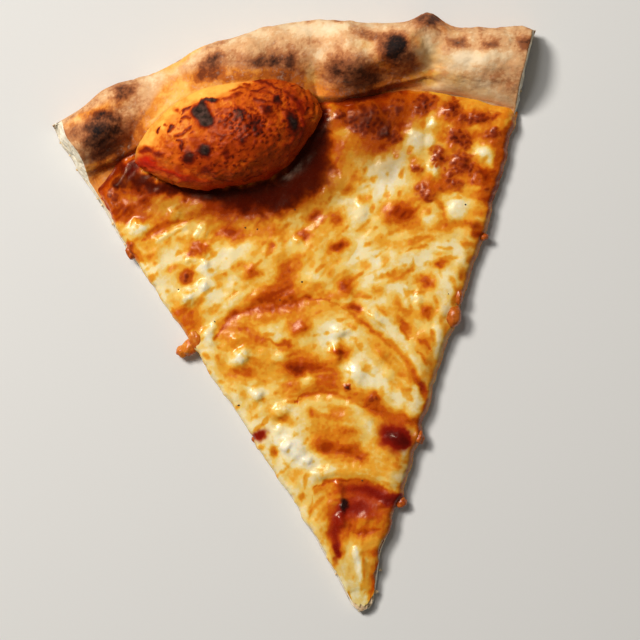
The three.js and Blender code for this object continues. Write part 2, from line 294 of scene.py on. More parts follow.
def crest(deg):
    return 15.2 + waves(CREST_WAVES, deg)


def soft_interp(r, table):
    x, y = np.array([t[0] for t in table], float), np.array([t[1] for t in table], float)
    fine = np.arange(x[0], x[-1] + 1.0, 1.0)
    v = np.interp(fine, x, y)
    pad = np.pad(v, 3, mode="edge")
    v = np.convolve(pad, [0.06, 0.12, 0.2, 0.24, 0.2, 0.12, 0.06], mode="valid")
    return np.interp(r, fine, v)


def place(s, r, left, right):
    out = np.where(s < 0, soft_interp(r, CUT_LEFT) - left, soft_interp(r, CUT_RIGHT) - right)
    out = out * smooth(0, 1, np.abs(s) * 1.6)
    angle = s * (HALF + out / r)
    back = TIP_R * (1 - smooth(TIP_R, 34, r)) * np.maximum(0, 1 - s * s) ** 0.75
    return r * np.sin(angle), r * np.cos(angle) - back


def rise(x, deg):
    soft = 0.62 * (0.5 - 0.5 * np.cos(math.pi * x)) + 0.38 * np.sin(math.pi * x / 2)
    steep = np.sin(math.pi * x / 2) ** 0.62
    return mix(soft, steep, smooth(13.5, 16.5, deg) * 0.85)


def dough_top(w, deg):
    high = crest(deg)
    middle = EQUATOR * high
    lumps = 0.0
    for at, share, up, wide, deep in LUMPS:
        lumps = lumps + up * bell(deg, at, wide) * bell(w, share, deep)
    fade = smooth(0, 0.12, w) * np.sqrt(np.maximum(0, 1 - smooth(0.86, 1, w)))
    inner = DOUGH_T + (high - DOUGH_T) * rise(np.clip(w / CREST, 0, 1), deg)
    side = np.clip((w - CREST) / (1 - CREST), 0, 1)
    outer = middle + (high - middle) * np.sqrt(np.maximum(0, 1 - side * side))
    return np.where(w <= 0, DOUGH_T, np.where(w < CREST, inner, outer) + lumps * fade)


def dough_bottom(w, deg):
    side = np.clip((w - (1 - TUCK)) / TUCK, 0, 1)
    return EQUATOR * crest(deg) * (1 - np.sqrt(np.maximum(0, 1 - side * side)))


def blister_gap(x, y, z):
    """Roughly how far a point is outside the blister, mm (negative inside)."""
    t = math.radians(BLISTER["turn"])
    dx, dy, dz = x - BLISTER["x"], y - BLISTER["y"], z - BLISTER["z"]
    u = (dx * math.cos(t) + dy * math.sin(t)) / BLISTER["half"]
    v = -dx * math.sin(t) + dy * math.cos(t)
    opened = np.maximum(1e-3, 1 - u * u)
    far = BLISTER["far"] * opened ** mix(0.7, 0.5, smooth(-0.3, 0.4, u))
    near = BLISTER["near"] * opened ** 0.9
    high = np.where(dz > 0, BLISTER["up"], BLISTER["down"]) * opened ** 0.62
    q = np.hypot(v / np.where(v > 0, far, near), dz / high)
    size = np.minimum(np.where(v > 0, far, near), high)
    return np.where(np.abs(u) >= 1, 20.0, (q - 1) * size + 6 * np.maximum(0, np.abs(u) - 0.9) * 10 * (q > 1))


def blister_height(x, y, shoulder=0.84, slope=0.95):
    """Top of the blister over a place in plan, running off straight below its shoulder; also how far out, and the side."""
    t = math.radians(BLISTER["turn"])
    dx, dy = x - BLISTER["x"], y - BLISTER["y"]
    u = np.clip((dx * math.cos(t) + dy * math.sin(t)) / BLISTER["half"], -1.3, 1.3)
    v = -dx * math.sin(t) + dy * math.cos(t)
    opened = np.maximum(0.02, 1 - u * u)
    far = BLISTER["far"] * opened ** mix(0.7, 0.5, smooth(-0.3, 0.4, u))
    near = BLISTER["near"] * opened ** 0.9
    q = np.abs(v) / np.where(v > 0, far, near)
    high = BLISTER["up"] * opened ** 0.62
    bent = np.minimum(q, shoulder)
    up = high * np.sqrt(1 - bent * bent) - slope * np.maximum(0, q - shoulder) * np.where(v > 0, far, near)
    up = up - 14.0 * np.maximum(0, np.abs(u) - 1.0)
    return BLISTER["z"] + up, q, v


# ------------------------------------------------------------------ meshes
def to_metres(p):
    q = np.array(p, float)
    q[:, 0] -= ORIGIN[0]
    q[:, 1] -= ORIGIN[1]
    return q / 1000.0


def make(name, verts, faces, layers=None, smooth_shade=True):
    mesh = bpy.data.meshes.new(name)
    mesh.from_pydata([tuple(v) for v in to_metres(verts)], [], faces)
    mesh.update()
    for key, values in (layers or {}).items():
        a = mesh.attributes.new(key, "FLOAT", "POINT")
        a.data.foreach_set("value", np.asarray(values, np.float32))
    if smooth_shade:
        mesh.polygons.foreach_set("use_smooth", [True] * len(mesh.polygons))
    mesh.update()
    obj = bpy.data.objects.new(name, mesh)
    bpy.context.collection.objects.link(obj)
    return obj


def normals_of(verts, faces):
    """Vertex normals of a mesh of quads and triangles."""
    n = np.zeros(verts.shape)
    quads = np.array([f for f in faces if len(f) == 4])
    tris = np.array([f for f in faces if len(f) == 3])
    if len(quads):
        c = np.cross(verts[quads[:, 2]] - verts[quads[:, 0]], verts[quads[:, 3]] - verts[quads[:, 1]])
        for k in range(4):
            np.add.at(n, quads[:, k], c)
    if len(tris):
        c = np.cross(verts[tris[:, 1]] - verts[tris[:, 0]], verts[tris[:, 2]] - verts[tris[:, 0]])
        for k in range(3):
            np.add.at(n, tris[:, k], c)
    return n / np.maximum(1e-12, np.linalg.norm(n, axis=1))[:, None]


def stitch(a, ta, b, tb, faces, flip=False):
    """Triangles and quads between two rows of vertices, by their places 0 to 1 along the row."""
    if len(a) == len(b):
        for i in range(len(a) - 1):
            f = (a[i], a[i + 1], b[i + 1], b[i])
            faces.append(f[::-1] if flip else f)
        return
    i = j = 0
    while i < len(a) - 1 or j < len(b) - 1:
        if j == len(b) - 1 or (i < len(a) - 1 and ta[i + 1] <= tb[j + 1]):
            f = (a[i], a[i + 1], b[j])
            i += 1
        else:
            f = (a[i], b[j + 1], b[j])
            j += 1
        faces.append(f[::-1] if flip else f)


def slab(rows, columns_of, point, skirt, name):
    """A layer: rows of vertices from the point to the rim, with the ring round its edge.

    columns_of(i) gives the columns of row i, point(i, s) their places; skirt is not used."""
    verts, faces, ids, params = [], [], [], []
    for i in range(rows):
        s = np.linspace(-1, 1, columns_of(i))
        p = point(i, s)
        start = len(verts)
        verts.extend(p.tolist())
        ids.append(list(range(start, start + len(s))))
        params.append(s)
    for i in range(rows - 1):
        stitch(ids[i], params[i], ids[i + 1], params[i + 1], faces)
    ring = [r[0] for r in ids[::-1]][:-1] + ids[0][:-1] + [r[-1] for r in ids][:-1] + ids[-1][::-1][:-1]
    return verts, faces, ids, ring


def ring_down(verts, faces, ring, steps):
    """Carry a closed edge down and inwards: steps of (inwards, height above the base at that place)."""
    edge = np.array([verts[k] for k in ring])
    ahead, behind = np.roll(edge, -3, axis=0), np.roll(edge, 3, axis=0)
    way = ahead - behind
    inward = np.stack([-way[:, 1], way[:, 0]], 1)
    inward /= np.maximum(1e-9, np.linalg.norm(inward, axis=1))[:, None]
    last = ring
    for inwards, height in steps:
        p = edge.copy()
        p[:, :2] += inward * inwards
        p[:, 2] = height(edge) if callable(height) else height
        start = len(verts)
        verts.extend(p.tolist())
        new = list(range(start, start + len(ring)))
        for k in range(len(ring)):
            m = (k + 1) % len(ring)
            faces.append((last[k], new[k], new[m], last[m]))
        last = new
    return last


# ------------------------------------------------------------------ dough
CHAR = [(106, 127, 21, 15, 10, 0.78), (97, 142, 13, 11, 50, 0.70), (102, 159, 7, 12, 15, 0.76), (124, 92, 14, 6, 15, 0.5),
        (210, 66, 12, 9, 30, 0.62), (199, 78, 9, 5, 35, 0.8), (270, 62, 18, 6, 5, 0.4), (290, 62, 7, 9, 0, 0.55),
        (338, 66, 12, 11, -20, 0.48), (352, 73, 20, 13, -15, 0.40), (372, 80, 13, 11, -20, 0.58), (394, 48, 12.5, 13.5, 0, 1.15),
        (386, 39, 9, 6, -25, 0.65), (410, 60, 6, 8, 0, 0.42), (430, 18, 13, 6, 0, 0.66), (458, 42, 10, 5, -5, 0.24),
        (492, 45, 7, 4, 0, 0.28), (525, 43, 5, 7, 0, 0.45), (504, 82, 6, 5, 0, 0.3)]
BROWN = [(104, 134, 28, 26, 20, 0.7), (130, 98, 22, 12, 20, 0.5), (138, 106, 14, 12, 0, 0.35), (168, 94, 14, 9, 10, 0.5),
         (210, 68, 22, 13, 30, 0.7), (224, 55, 12, 6, 20, 0.5), (244, 44, 8, 5, 0, 0.55), (268, 60, 34, 12, 6, 0.85),
         (292, 62, 14, 14, 0, 0.7), (314, 44, 9, 6, 0, 0.55), (352, 73, 31, 23, -12, 0.8), (366, 33, 17, 6, -6, 0.7),
         (394, 48, 17, 17, 0, 0.8), (414, 58, 13, 14, 0, 0.75), (398, 74, 22, 14, 0, 0.75), (430, 24, 18, 10, 0, 0.75),
         (458, 45, 13, 8, 0, 0.62), (492, 45, 10, 6, 0, 0.62), (524, 44, 8, 9, 0, 0.7), (503, 80, 22, 17, 0, 0.58),
         (90, 160, 8, 18, 50, 0.6), (72, 126, 10, 6, 30, 0.5), (150, 118, 14, 10, 50, 0.35), (186, 84, 12, 7, 30, 0.35),
         (520, 66, 6, 20, -12, 0.4), (330, 88, 14, 8, 0, 0.4), (300, 88, 10, 10, 0, 0.4), (442, 76, 9, 3, 22, 0.6),
         (282, 34, 14, 6, 0, 0.2), (345, 40, 10, 6, 0, 0.2), (120, 164, 20, 14, 30, 0.75)]
GOLD = [(92, 113, 28, 5, 25, 0.9), (130, 150, 24, 12, 50, 0.9), (120, 168, 24, 16, 20, 1.0), (154, 128, 12, 20, -35, 1.0),
        (178, 104, 28, 10, 38, 1.0), (212, 90, 28, 9, 15, 1.0), (240, 78, 24, 8, 10, 0.9), (312, 84, 12, 20, 0, 0.8),
        (330, 92, 16, 8, 0, 0.8), (300, 80, 10, 14, 0, 0.6), (385, 66, 14, 12, 0, 0.9), (402, 80, 22, 12, -10, 0.9),
        (430, 62, 16, 16, 0, 0.5), (430, 80, 12, 6, 0, 0.9), (452, 80, 22, 7, -10, 0.5), (470, 92, 34, 6, -14, 0.4),
        (366, 44, 12, 6, 0, 0.4), (418, 42, 9, 9, 0, 0.5), (448, 28, 14, 8, 0, 0.3), (145, 122, 14, 12, 50, 0.5),
        (110, 108, 18, 6, 28, 0.6)]
FLOURY = [(300, 28, 22, 6, -5, 0.8), (250, 38, 24, 6, 15, 0.7), (330, 26, 20, 5, 0, 0.8), (380, 26, 18, 5, 0, 0.6),
          (200, 52, 20, 6, 28, 0.6), (160, 76, 18, 7, 25, 0.6), (366, 44, 11, 6, -10, 0.5), (470, 58, 20, 9, -5, 1.0),
          (500, 58, 14, 8, 0, 0.7), (418, 84, 6, 8, 0, 0.6), (480, 101, 18, 5, -14, 0.9), (450, 60, 10, 12, 0, 0.4),
          (175, 100, 12, 6, 30, 0.3), (322, 56, 12, 10, 0, 0.4), (440, 96, 12, 4, -10, 0.5), (150, 84, 12, 6, 25, 0.5),
          (178, 106, 20, 5, 40, 0.6), (216, 88, 22, 4, 14, 0.5)]


# Tone of the crust corrected where the ovals above are too rough: dabs with tone and cover.
# Some dabs are painted shade: the dark ones along the foot of the rim from 320 to 414 across. Others are painted light:
# the pale ones on the rim's right foot and right of the black lump at 425, 52, lightened where the rim faces away from
# the light.
D_DABS = [(136, 126, 10, 9, 0, 0.55, 0.9), (142, 140, 8, 12, 0, 0.54, 0.9), (129, 144, 7, 12, 0, 0.73, 0.9), (138, 153, 8, 8, 0, 0.60, 0.85),
          (152, 112, 9, 6, 30, 0.42, 0.75), (158, 100, 9, 5, 30, 0.36, 0.7), (169, 108, 11, 6, 40, 0.20, 0.75), (159, 122, 10, 5, 50, 0.22, 0.8),
          (184, 98, 12, 5, 25, 0.18, 0.8), (196, 88, 10, 4, 20, 0.40, 0.8), (215, 89, 9, 4, 10, 0.25, 0.8), (205, 74, 13, 7, 25, 0.74, 0.9),
          (226, 79, 11, 5, 15, 0.52, 0.92), (247, 77, 17, 6, 5, 0.53, 0.95), (270, 77, 13, 6, -5, 0.62, 0.92), (287, 78, 11, 8, -10, 0.74, 0.95),
          (301, 78, 8, 7, -30, 0.58, 0.85), (311, 76, 5, 10, 0, 0.33, 0.7), (430, 52, 12, 18, 10, 0.18, 0.85), (412, 62, 7, 8, 0, 0.62, 0.7),
          (350, 64, 14, 7, -12, 0.60, 0.6), (305, 64, 9, 10, 0, 0.40, 0.7), (359, 84, 13, 7, -12, 0.62, 0.7), (464, 82, 18, 9, -12, 0.12, 0.85),
          (485, 88, 13, 9, -12, 0.10, 0.85), (504, 84, 9, 9, 0, 0.38, 0.7), (498, 100, 16, 7, -14, 0.10, 0.9), (480, 93, 16, 6, -12, 0.10, 0.85), (450, 92, 24, 6, -12, 0.14, 0.85),
          (118, 158, 10, 8, 30, 0.76, 0.85), (113, 150, 9, 6, 30, 0.82, 0.85), (99, 166, 9, 6, 40, 0.72, 0.75), (104, 178, 12, 7, 50, 0.34, 0.85), (252, 44, 14, 8, 5, 0.40, 0.6), (370, 96, 20, 8, 0, 0.80, 0.9),
          (342, 100, 12, 10, 0, 0.66, 0.85), (396, 88, 14, 9, 0, 0.62, 0.85), (414, 82, 10, 9, 0, 0.40, 0.85), (320, 100, 8, 12, 0, 0.44, 0.7),
          (380, 46, 7, 10, 0, 0.55, 0.5), (76, 134, 8, 6, 30, 0.42, 0.6), (160, 84, 14, 7, 25, 0.22, 0.6), (190, 62, 14, 6, 30, 0.26, 0.5), (510, 70, 11, 16, -10, 0.40, 0.7), (498, 62, 9, 6, 0, 0.30, 0.6), (300, 32, 30, 6, 0, 0.13, 0.6),
          (432, 84, 14, 5, -8, 0.16, 0.8), (150, 95, 12, 8, 28, 0.26, 0.6),
          (87, 158, 4, 10, -20, 0.36, 0.7), (73, 133, 8, 5, 30, 0.56, 0.75), (215, 76, 11, 4, 20, 0.76, 0.85), (229, 77, 9, 4, 12, 0.60, 0.75),
          (143, 131, 6, 9, 35, 0.62, 0.7), (141, 106, 8, 6, 28, 0.42, 0.65), (146, 119, 9, 5, 40, 0.48, 0.65), (160, 105, 9, 4, 38, 0.40, 0.6),
          (313, 89, 5, 8, 0, 0.34, 0.7), (311, 75, 6, 7, 0, 0.20, 0.7), (325, 102, 8, 5, 0, 0.42, 0.65), (425, 52, 6, 12, 0, 0.06, 0.85),
          (170, 78, 17, 6, 28, 0.38, 0.6), (172, 91, 13, 6, 32, 0.38, 0.6), (146, 103, 9, 5, 28, 0.52, 0.6), (188, 75, 7, 5, 30, 0.44, 0.55),
          (73, 133, 8, 5, 30, 0.66, 0.6), (285, 33, 9, 4, 0, 0.28, 0.5)]


def dough_mesh():
    flat = int(64 / FINE)
    inner = int(46 / FINE)
    outer = int(46 / FINE)
    nt = int(330 / FINE)
    nb = int(110 / FINE)
    nw = int(34 / FINE)
    w_rows = np.concatenate([
        np.linspace(-1, 0, flat, endpoint=False),
        np.linspace(0, CREST, inner, endpoint=False),
        CREST + (1 - CREST) * np.sin(np.linspace(0, 0.5 * math.pi, outer)),
    ])
    top_s = np.linspace(-1, 1, nt)
    low_s = np.linspace(-1, 1, nb)
    verts, faces = [], []
    kind = []  # 0 top, 1 cut face, 2 underside

    def reach(w, deg):
        r0, r1 = rim_in(deg), rim_out(deg)
        return np.where(w <= 0, mix(TIP_R, r0, w + 1), mix(r0, r1, w))

    def insets(w):
        k = smooth(-0.12, 0.35, w)
        return 0.9 + 3.2 * k, 0.7 + 0.9 * k

    def row_top(w):
        deg = np.degrees(top_s * HALF)
        r = reach(w, deg)
        a, b = insets(w)
        x, y = place(top_s, r, a, b)
        z = dough_top(np.full(nt, w), deg)
        return np.stack([x, y, z], 1)

    def row_low(w):
        deg = np.degrees(low_s * HALF)
        r = reach(w, deg)
        a, b = insets(w) if w >= 1 else (0.0, 0.0)
        x, y = place(low_s, r, a, b)
        z = dough_top(np.full(nb, 1.0), deg) if w >= 1 else dough_bottom(np.full(nb, w), deg)
        return np.stack([x, y, z], 1)

    def wall(top, low, n):
        t = np.linspace(0, 1, n + 2)[1:-1]
        bulge = t ** 0.8  # the cutter squeezes the upper edge most
        p = top[None, :] + (low - top)[None, :] * t[:, None]
        p[:, :2] = top[None, :2] + (low - top)[None, :2] * bulge[:, None]
        return p

    def add(points, k):
        start = len(verts)
        verts.extend(points.tolist())
        kind.extend([k] * len(points))
        return list(range(start, start + len(points)))

    loops = []
    for w in w_rows:
        t = row_top(w)
        b = row_low(w)
        ti = add(t, 0)
        if w >= 1 - 1e-9:
            loops.append((ti, None, None, None))
            continue
        ri = add(wall(t[-1], b[-1], nw), 1)
        bi = add(b, 2)
        li = add(wall(t[0], b[0], nw), 1)
        loops.append((ti, ri, bi, li))
    for (t0, r0, b0, l0), (t1, r1, b1, l1) in zip(loops[:-1], loops[1:]):
        stitch(t0, top_s, t1, top_s, faces)
        a, c = [t0[-1]] + r0 + [b0[-1]], None
        d = [t0[0]] + l0 + [b0[0]]
        if b1 is None:
            stitch(b0, low_s, t1, top_s, faces, flip=True)
            for k in range(len(a) - 1):
                faces.append((a[k], a[k + 1], t1[-1]))
                faces.append((d[k + 1], d[k], t1[0]))
        else:
            stitch(b0, low_s, b1, low_s, faces, flip=True)
            c = [t1[-1]] + r1 + [b1[-1]]
            e = [t1[0]] + l1 + [b1[0]]
            for k in range(len(a) - 1):
                faces.append((a[k], a[k + 1], c[k + 1], c[k]))
                faces.append((d[k + 1], d[k], e[k], e[k + 1]))
    # The blunt point: rings of the first row carried down to the underside.
    t0, r0, b0, l0 = loops[0]
    upper = np.array([verts[k] for k in t0])
    a, b = insets(-1.0)
    x, y = place(top_s, np.full(nt, TIP_R), 0.0, 0.0)
    lower = np.stack([x, y, np.zeros(nt)], 1)
    last = t0
    for k in range(nw):
        t = (k + 1) / (nw + 1)
        mid = upper + (lower - upper) * t
        mid[0], mid[-1] = verts[l0[k]], verts[r0[k]]
        ids = [l0[k]] + add(mid[1:-1], 1) + [r0[k]]
        stitch(last, top_s, ids, top_s, faces, flip=True)
        last = ids
    stitch(last, top_s, b0, low_s, faces, flip=True)
    return np.array(verts, float), faces, np.array(kind)


def dough_looks(verts, faces, kind):
    n = normals_of(verts, faces)
    x, y, z = verts.T
    r = np.hypot(x, y)
    deg = np.degrees(np.arctan2(x, np.maximum(1e-6, y)))
    w = (r - rim_in(deg)) / (rim_out(deg) - rim_in(deg))
    top, cut, low = kind == 0, kind == 1, kind == 2
    rim = smooth(0.0, 0.16, w)
    # Uneven surface of the rim: soft dents, wrinkles, small bubbles and a floury grain.
    px, py = seen(x, y, z)
    big = 0.62 * fbm(x / 15, y / 15, z / 15, 3)
    mid = 0.20 * fbm(x / 4.2, y / 4.2, z / 4.2 + 5, 3)
    fine = 0.05 * fbm(x / 1.25, y / 1.25, z / 1.25 + 9, 3)
    bubbles = np.maximum(0, 0.5 - cells(x / 5.5, y / 5.5, 3)[0]) * 1.1 * smooth(0.1, 0.9, fbm(x / 22, y / 22, 4.0, 2))
    move = np.where(top, rim * (big + mid + fine + bubbles), 0.0)
    hollow = np.zeros(x.shape)
    # Crumb of the cut faces: pores and torn walls, larger in the rim.
    pore, pore2, chance = cells(y / 3.4 + 0.35 * perlin(y / 3, z / 3, 1.0), z / 2.0 + 40 + 0.35 * perlin(y / 3, z / 3, 2.0), 9, True)
    small = cells(y / 1.5 + 0.3 * perlin(y / 2, z / 2, 3.0), z / 1.0 + 80, 13)[0]
    torn = fbm(x / 2.4, y / 2.4, z / 1.6, 4)
    high = smooth(4.5, 9, crest(deg)) * rim
    wide_open = smooth(0.22 + 0.26 * chance, 0.06, pore) * smooth(0.35, 0.6, chance)
    hollow = np.where(cut, np.maximum(wide_open * (0.35 + 0.65 * high), 0.35 * smooth(0.36, 0.14, small) * smooth(-0.2, 0.8, torn)), 0.0)
    move = np.where(cut, 0.20 * torn - (0.30 + 0.55 * high) * hollow + 0.35 * fbm(y / 7, z / 7, 3.0, 2) * (0.3 + high), move)
    edge = np.minimum(smooth(0, 0.7, z), 1.0)
    move = np.where(cut, move * edge, move)
    # Underside: faint unevenness, upwards only so that it still stands on its lowest face.
    lift = np.where(low & (z < 0.3), 0.16 * np.maximum(0, fbm(x / 9, y / 9, 6.0, 3)), 0.0)
    verts = verts + n * move[:, None]
    verts[:, 2] = np.maximum(verts[:, 2] + lift, 0.0)
    # The dough is drawn up where the blister grows out of it, and passes under its skin.
    over, q, v_side = blister_height(verts[:, 0], verts[:, 1])
    span = 9.0
    meet = np.maximum(0, span - np.abs(over - z)) / span
    joined = np.maximum(z, over) + 0.25 * span * meet ** 2 - 2.2 * smooth(0.90, 0.74, q) * (over > z)
    beside = top * smooth(-1.0, 4.0, v_side) * smooth(0.0, 0.12, w)
    saddle = beside * smooth(-span, 1.0, over - z)
    verts[:, 2] += np.maximum(0, joined - verts[:, 2]) * beside * smooth(0, 0.12, saddle)

    noise = fbm(px / 9, py / 9, 2.0, 4)
    grainy = fbm(px / 2.4, py / 2.4, 8.0, 3)
    broad = fbm(px / 26, py / 26, 32.0, 3)
    char = spots(px, py, CHAR, 0.16, 12.0, 3.0, 0.62)
    brown = spots(px, py, BROWN, 0.2, 15.0, 4.0, 0.75)
    gold = spots(px, py, GOLD, 0.25, 16.0, 5.0, 0.8)
    floury = spots(px, py, FLOURY, 0.25, 12.0, 6.0, 0.7)
    up = (top & (w > -0.35)) | (low & (w > 0.4))
    freckle = smooth(0.8, 1.8, fbm(px / 11, py / 11, 12.0, 3)) * 0.5
    # Outer wall and back of the rim: toasted all round, with its own spots.
    wall = smooth(0.86, 0.99, w) * (top | low)
    back = smooth(0.1, 1.3, fbm(deg / 2.2, z / 9.0, 21.0, 3)) * wall
    foot = smooth(0.24, 0.0, w) * mix(1.0, 0.25, smooth(400, 450, px))
    tone = 0.27 + 0.055 * broad + 0.055 * noise + 0.035 * grainy + 0.34 * np.maximum(brown, freckle) - 0.27 * floury
    tone = tone + 0.46 * char * (1 + 0.10 * noise + 0.07 * grainy) + 0.18 * back + 0.07 * wall + 0.10 * foot
    tone = tone + 0.35 * back * smooth(0.6, 1.4, fbm(deg / 1.6, z / 6, 23.0, 3))
    slope_tone = 0.13 + 0.05 * noise + 0.10 * smooth(215, 250, px) + 0.22 * smooth(245, 300, px)
    tone = mix(tone, slope_tone, smooth(0.25, 0.85, saddle) * (1 - 0.5 * char))
    wx, wy = wander(px, py, 9.0, 1.6)
    # the dabs: partly painted shade and painted light along the rim's foot
    tone = paint(tone, px + wx, py + wy, D_DABS, 2.0) + 0.03 * noise + 0.03 * grainy
    tone = np.where(up, np.clip(tone, 0, 1), 0.14 + 0.05 * grainy + 0.05 * noise)
    gold = np.where(up, np.clip(np.maximum(np.maximum(gold, 0.8 * foot), 0.98 * smooth(0.1, 0.6, saddle)) * (1 + 0.2 * noise) + 0.08, 0, 1), 0)
    half = r * math.tan(HALF)
    from_left = half + x / np.cos(np.radians(deg))
    sauced = np.where(top, smooth(0.02, -0.02, w + 0.01 * noise + 0.2 * smooth(-19, -22, deg)), 0) * smooth(0.8, 3.2, from_left + 0.5 * noise) * smooth(12, 20, r)
    flour = np.where(up, np.clip(0.45 + 0.4 * fbm(px / 5, py / 5, 14.0, 4) + 0.5 * floury, 0, 1), 0)
    under = np.where(low, smooth(3.6, 0.9, z + 0.8 * fbm(deg / 1.7, z / 3.0, 31.0, 3)), 0.0)
    skin = np.where(cut, np.maximum(smooth(0.55, 0.0, z), 0), 0)
    layers = {"bake": tone, "burnt": np.where(up, np.clip(char, 0, 1), 0), "gold": gold, "sauced": sauced, "flour": flour,
              "crumb": cut.astype(float), "hollow": hollow, "under": under, "skin": skin}
    return verts, layers


# ------------------------------------------------------------------ blister
# Marks on its skin, as dabs (x, y, rx, ry, turn, tone, cover) and curled lines.
# The darker tones on the blister's right and lower sides are partly its deeper red and partly painted shade where it
# turns from the light; along its lower edge the tone is kept lighter to make up for the shade there, which is painted
# light.
B_BROAD = [(180, 140, 34, 26, 20, 0.27, 0.9), (150, 152, 20, 12, 25, 0.30, 0.8), (215, 100, 34, 12, 14, 0.26, 0.8),
           (262, 96, 30, 14, -12, 0.40, 0.8), (290, 110, 18, 18, -30, 0.47, 0.9), (250, 128, 26, 20, -10, 0.42, 0.8),
           (228, 120, 18, 14, 0, 0.34, 0.6), (276, 140, 26, 22, 0, 0.44, 0.9), (300, 130, 14, 24, 0, 0.60, 0.9),
           (225, 158, 34, 14, 0, 0.44, 0.85), (195, 164, 26, 10, -12, 0.42, 0.8), (160, 164, 18, 8, -16, 0.40, 0.8),
           (245, 176, 40, 12, 10, 0.36, 0.9), (205, 182, 34, 8, -6, 0.43, 0.9), (170, 176, 20, 5, -14, 0.42, 0.8),
           (278, 164, 20, 12, 38, 0.58, 0.9), (243, 130, 20, 14, -20, 0.56, 0.8), (230, 136, 28, 22, 0, 0.62, 0.6), (240, 150, 24, 12, 0, 0.60, 0.5),
           (262, 148, 26, 22, 0, 0.60, 0.5), (254, 84, 34, 8, 0, 0.50, 0.7), (286, 92, 16, 12, -30, 0.60, 0.7), (260, 100, 26, 10, 0, 0.52, 0.5),
           (206, 164, 18, 10, 0, 0.62, 0.6), (230, 168, 28, 10, 0, 0.60, 0.5), (186, 152, 14, 10, 0, 0.50, 0.5)]
B_DABS = [(176.5, 109.5, 3.2, 2.2, -35, 0.66, 0.9), (194, 141.5, 6, 4.6, 0, 0.60, 0.8), (189.5, 157, 6.4, 6.4, 0, 0.84, 0.9),
          (204.5, 150.5, 6, 7, 20, 0.98, 1.0), (226.5, 153.5, 3.4, 5, 0, 0.78, 0.85), (234, 150, 4, 4, 0, 0.6, 0.6),
          (243, 140, 5, 4.4, 0, 0.80, 0.85), (238, 136, 4, 4.6, 0, 0.72, 0.8), (222, 136.5, 3.4, 3.2, 0, 0.74, 0.8),
          (240, 114.5, 7, 6, -10, 0.86, 0.9), (253, 123, 8, 6.4, -15, 0.84, 0.9), (257, 130, 6, 5.4, 0, 0.80, 0.9),
          (246, 128, 8, 7, 0, 0.70, 0.8), (224, 111.5, 5.4, 4, 0, 0.60, 0.7), (220, 127, 5, 5, 0, 0.56, 0.6),
          (232, 122, 6, 5, 0, 0.62, 0.6), (267, 110, 5.6, 5, -20, 0.82, 0.9), (271, 117, 4, 5, 0, 0.66, 0.8),
          (276.5, 100, 4.4, 5, 0, 0.84, 0.9), (291.5, 122, 4.6, 10, 12, 0.94, 0.95), (301, 110, 2.8, 4.6, 10, 0.80, 0.85),
          (236.5, 95.5, 3.6, 2.2, 15, 0.74, 0.85), (286, 147, 2.2, 3.4, 0, 0.72, 0.8), (270, 139, 6.4, 10, 5, 0.58, 0.75),
          (206, 170, 7, 4, -5, 0.76, 0.85), (220, 168.5, 6.4, 4.4, 0, 0.64, 0.75), (190, 178, 7, 3.4, -12, 0.64, 0.7),
          (240, 172, 5, 3.2, 0, 0.66, 0.7), (249, 173, 4, 2.4, 0, 0.68, 0.7), (211.5, 189, 7, 2.4, 0, 0.56, 0.8),
          (230, 176, 6.4, 4, 0, 0.60, 0.6), (178.5, 176, 6, 2.6, -12, 0.6, 0.6), (178.5, 168.5, 4.4, 2.8, 0, 0.58, 0.7),
          (147, 149.5, 5.6, 3, 0, 0.86, 0.9), (141.5, 151.5, 3, 2.2, 0, 0.74, 0.8), (158.5, 154.5, 7, 2.6, -20, 0.80, 0.85),
          (171, 147, 5, 6, 0, 0.52, 0.7), (164, 143, 4, 5, 0, 0.46, 0.6), (262, 150, 8, 6, 0, 0.52, 0.5), (296, 100, 4, 3, -30, 0.7, 0.7),
          (215, 142, 5, 4, 0, 0.5, 0.5), (262, 162, 7, 4, 20, 0.6, 0.5), (152, 160, 6, 3, 0, 0.5, 0.4)]
B_CHAR = [(201, 112, 8, 8.5, 0, 1.0), (206.5, 121, 7.4, 7, 0, 1.0), (212, 100.6, 6.4, 2.6, 5, 0.95), (203, 103, 4, 3.4, 20, 0.7),
          (204.5, 150.5, 5.4, 6.2, 20, 0.9), (291.5, 122, 3.6, 8.6, 12, 0.8), (189.5, 157, 4.4, 4.4, 0, 0.4), (276.5, 100, 3, 3.4, 0, 0.5),
          (240, 114.5, 4.4, 3.6, -10, 0.35), (254, 124, 5, 4, -15, 0.35), (267, 110, 3.4, 3, 0, 0.35)]
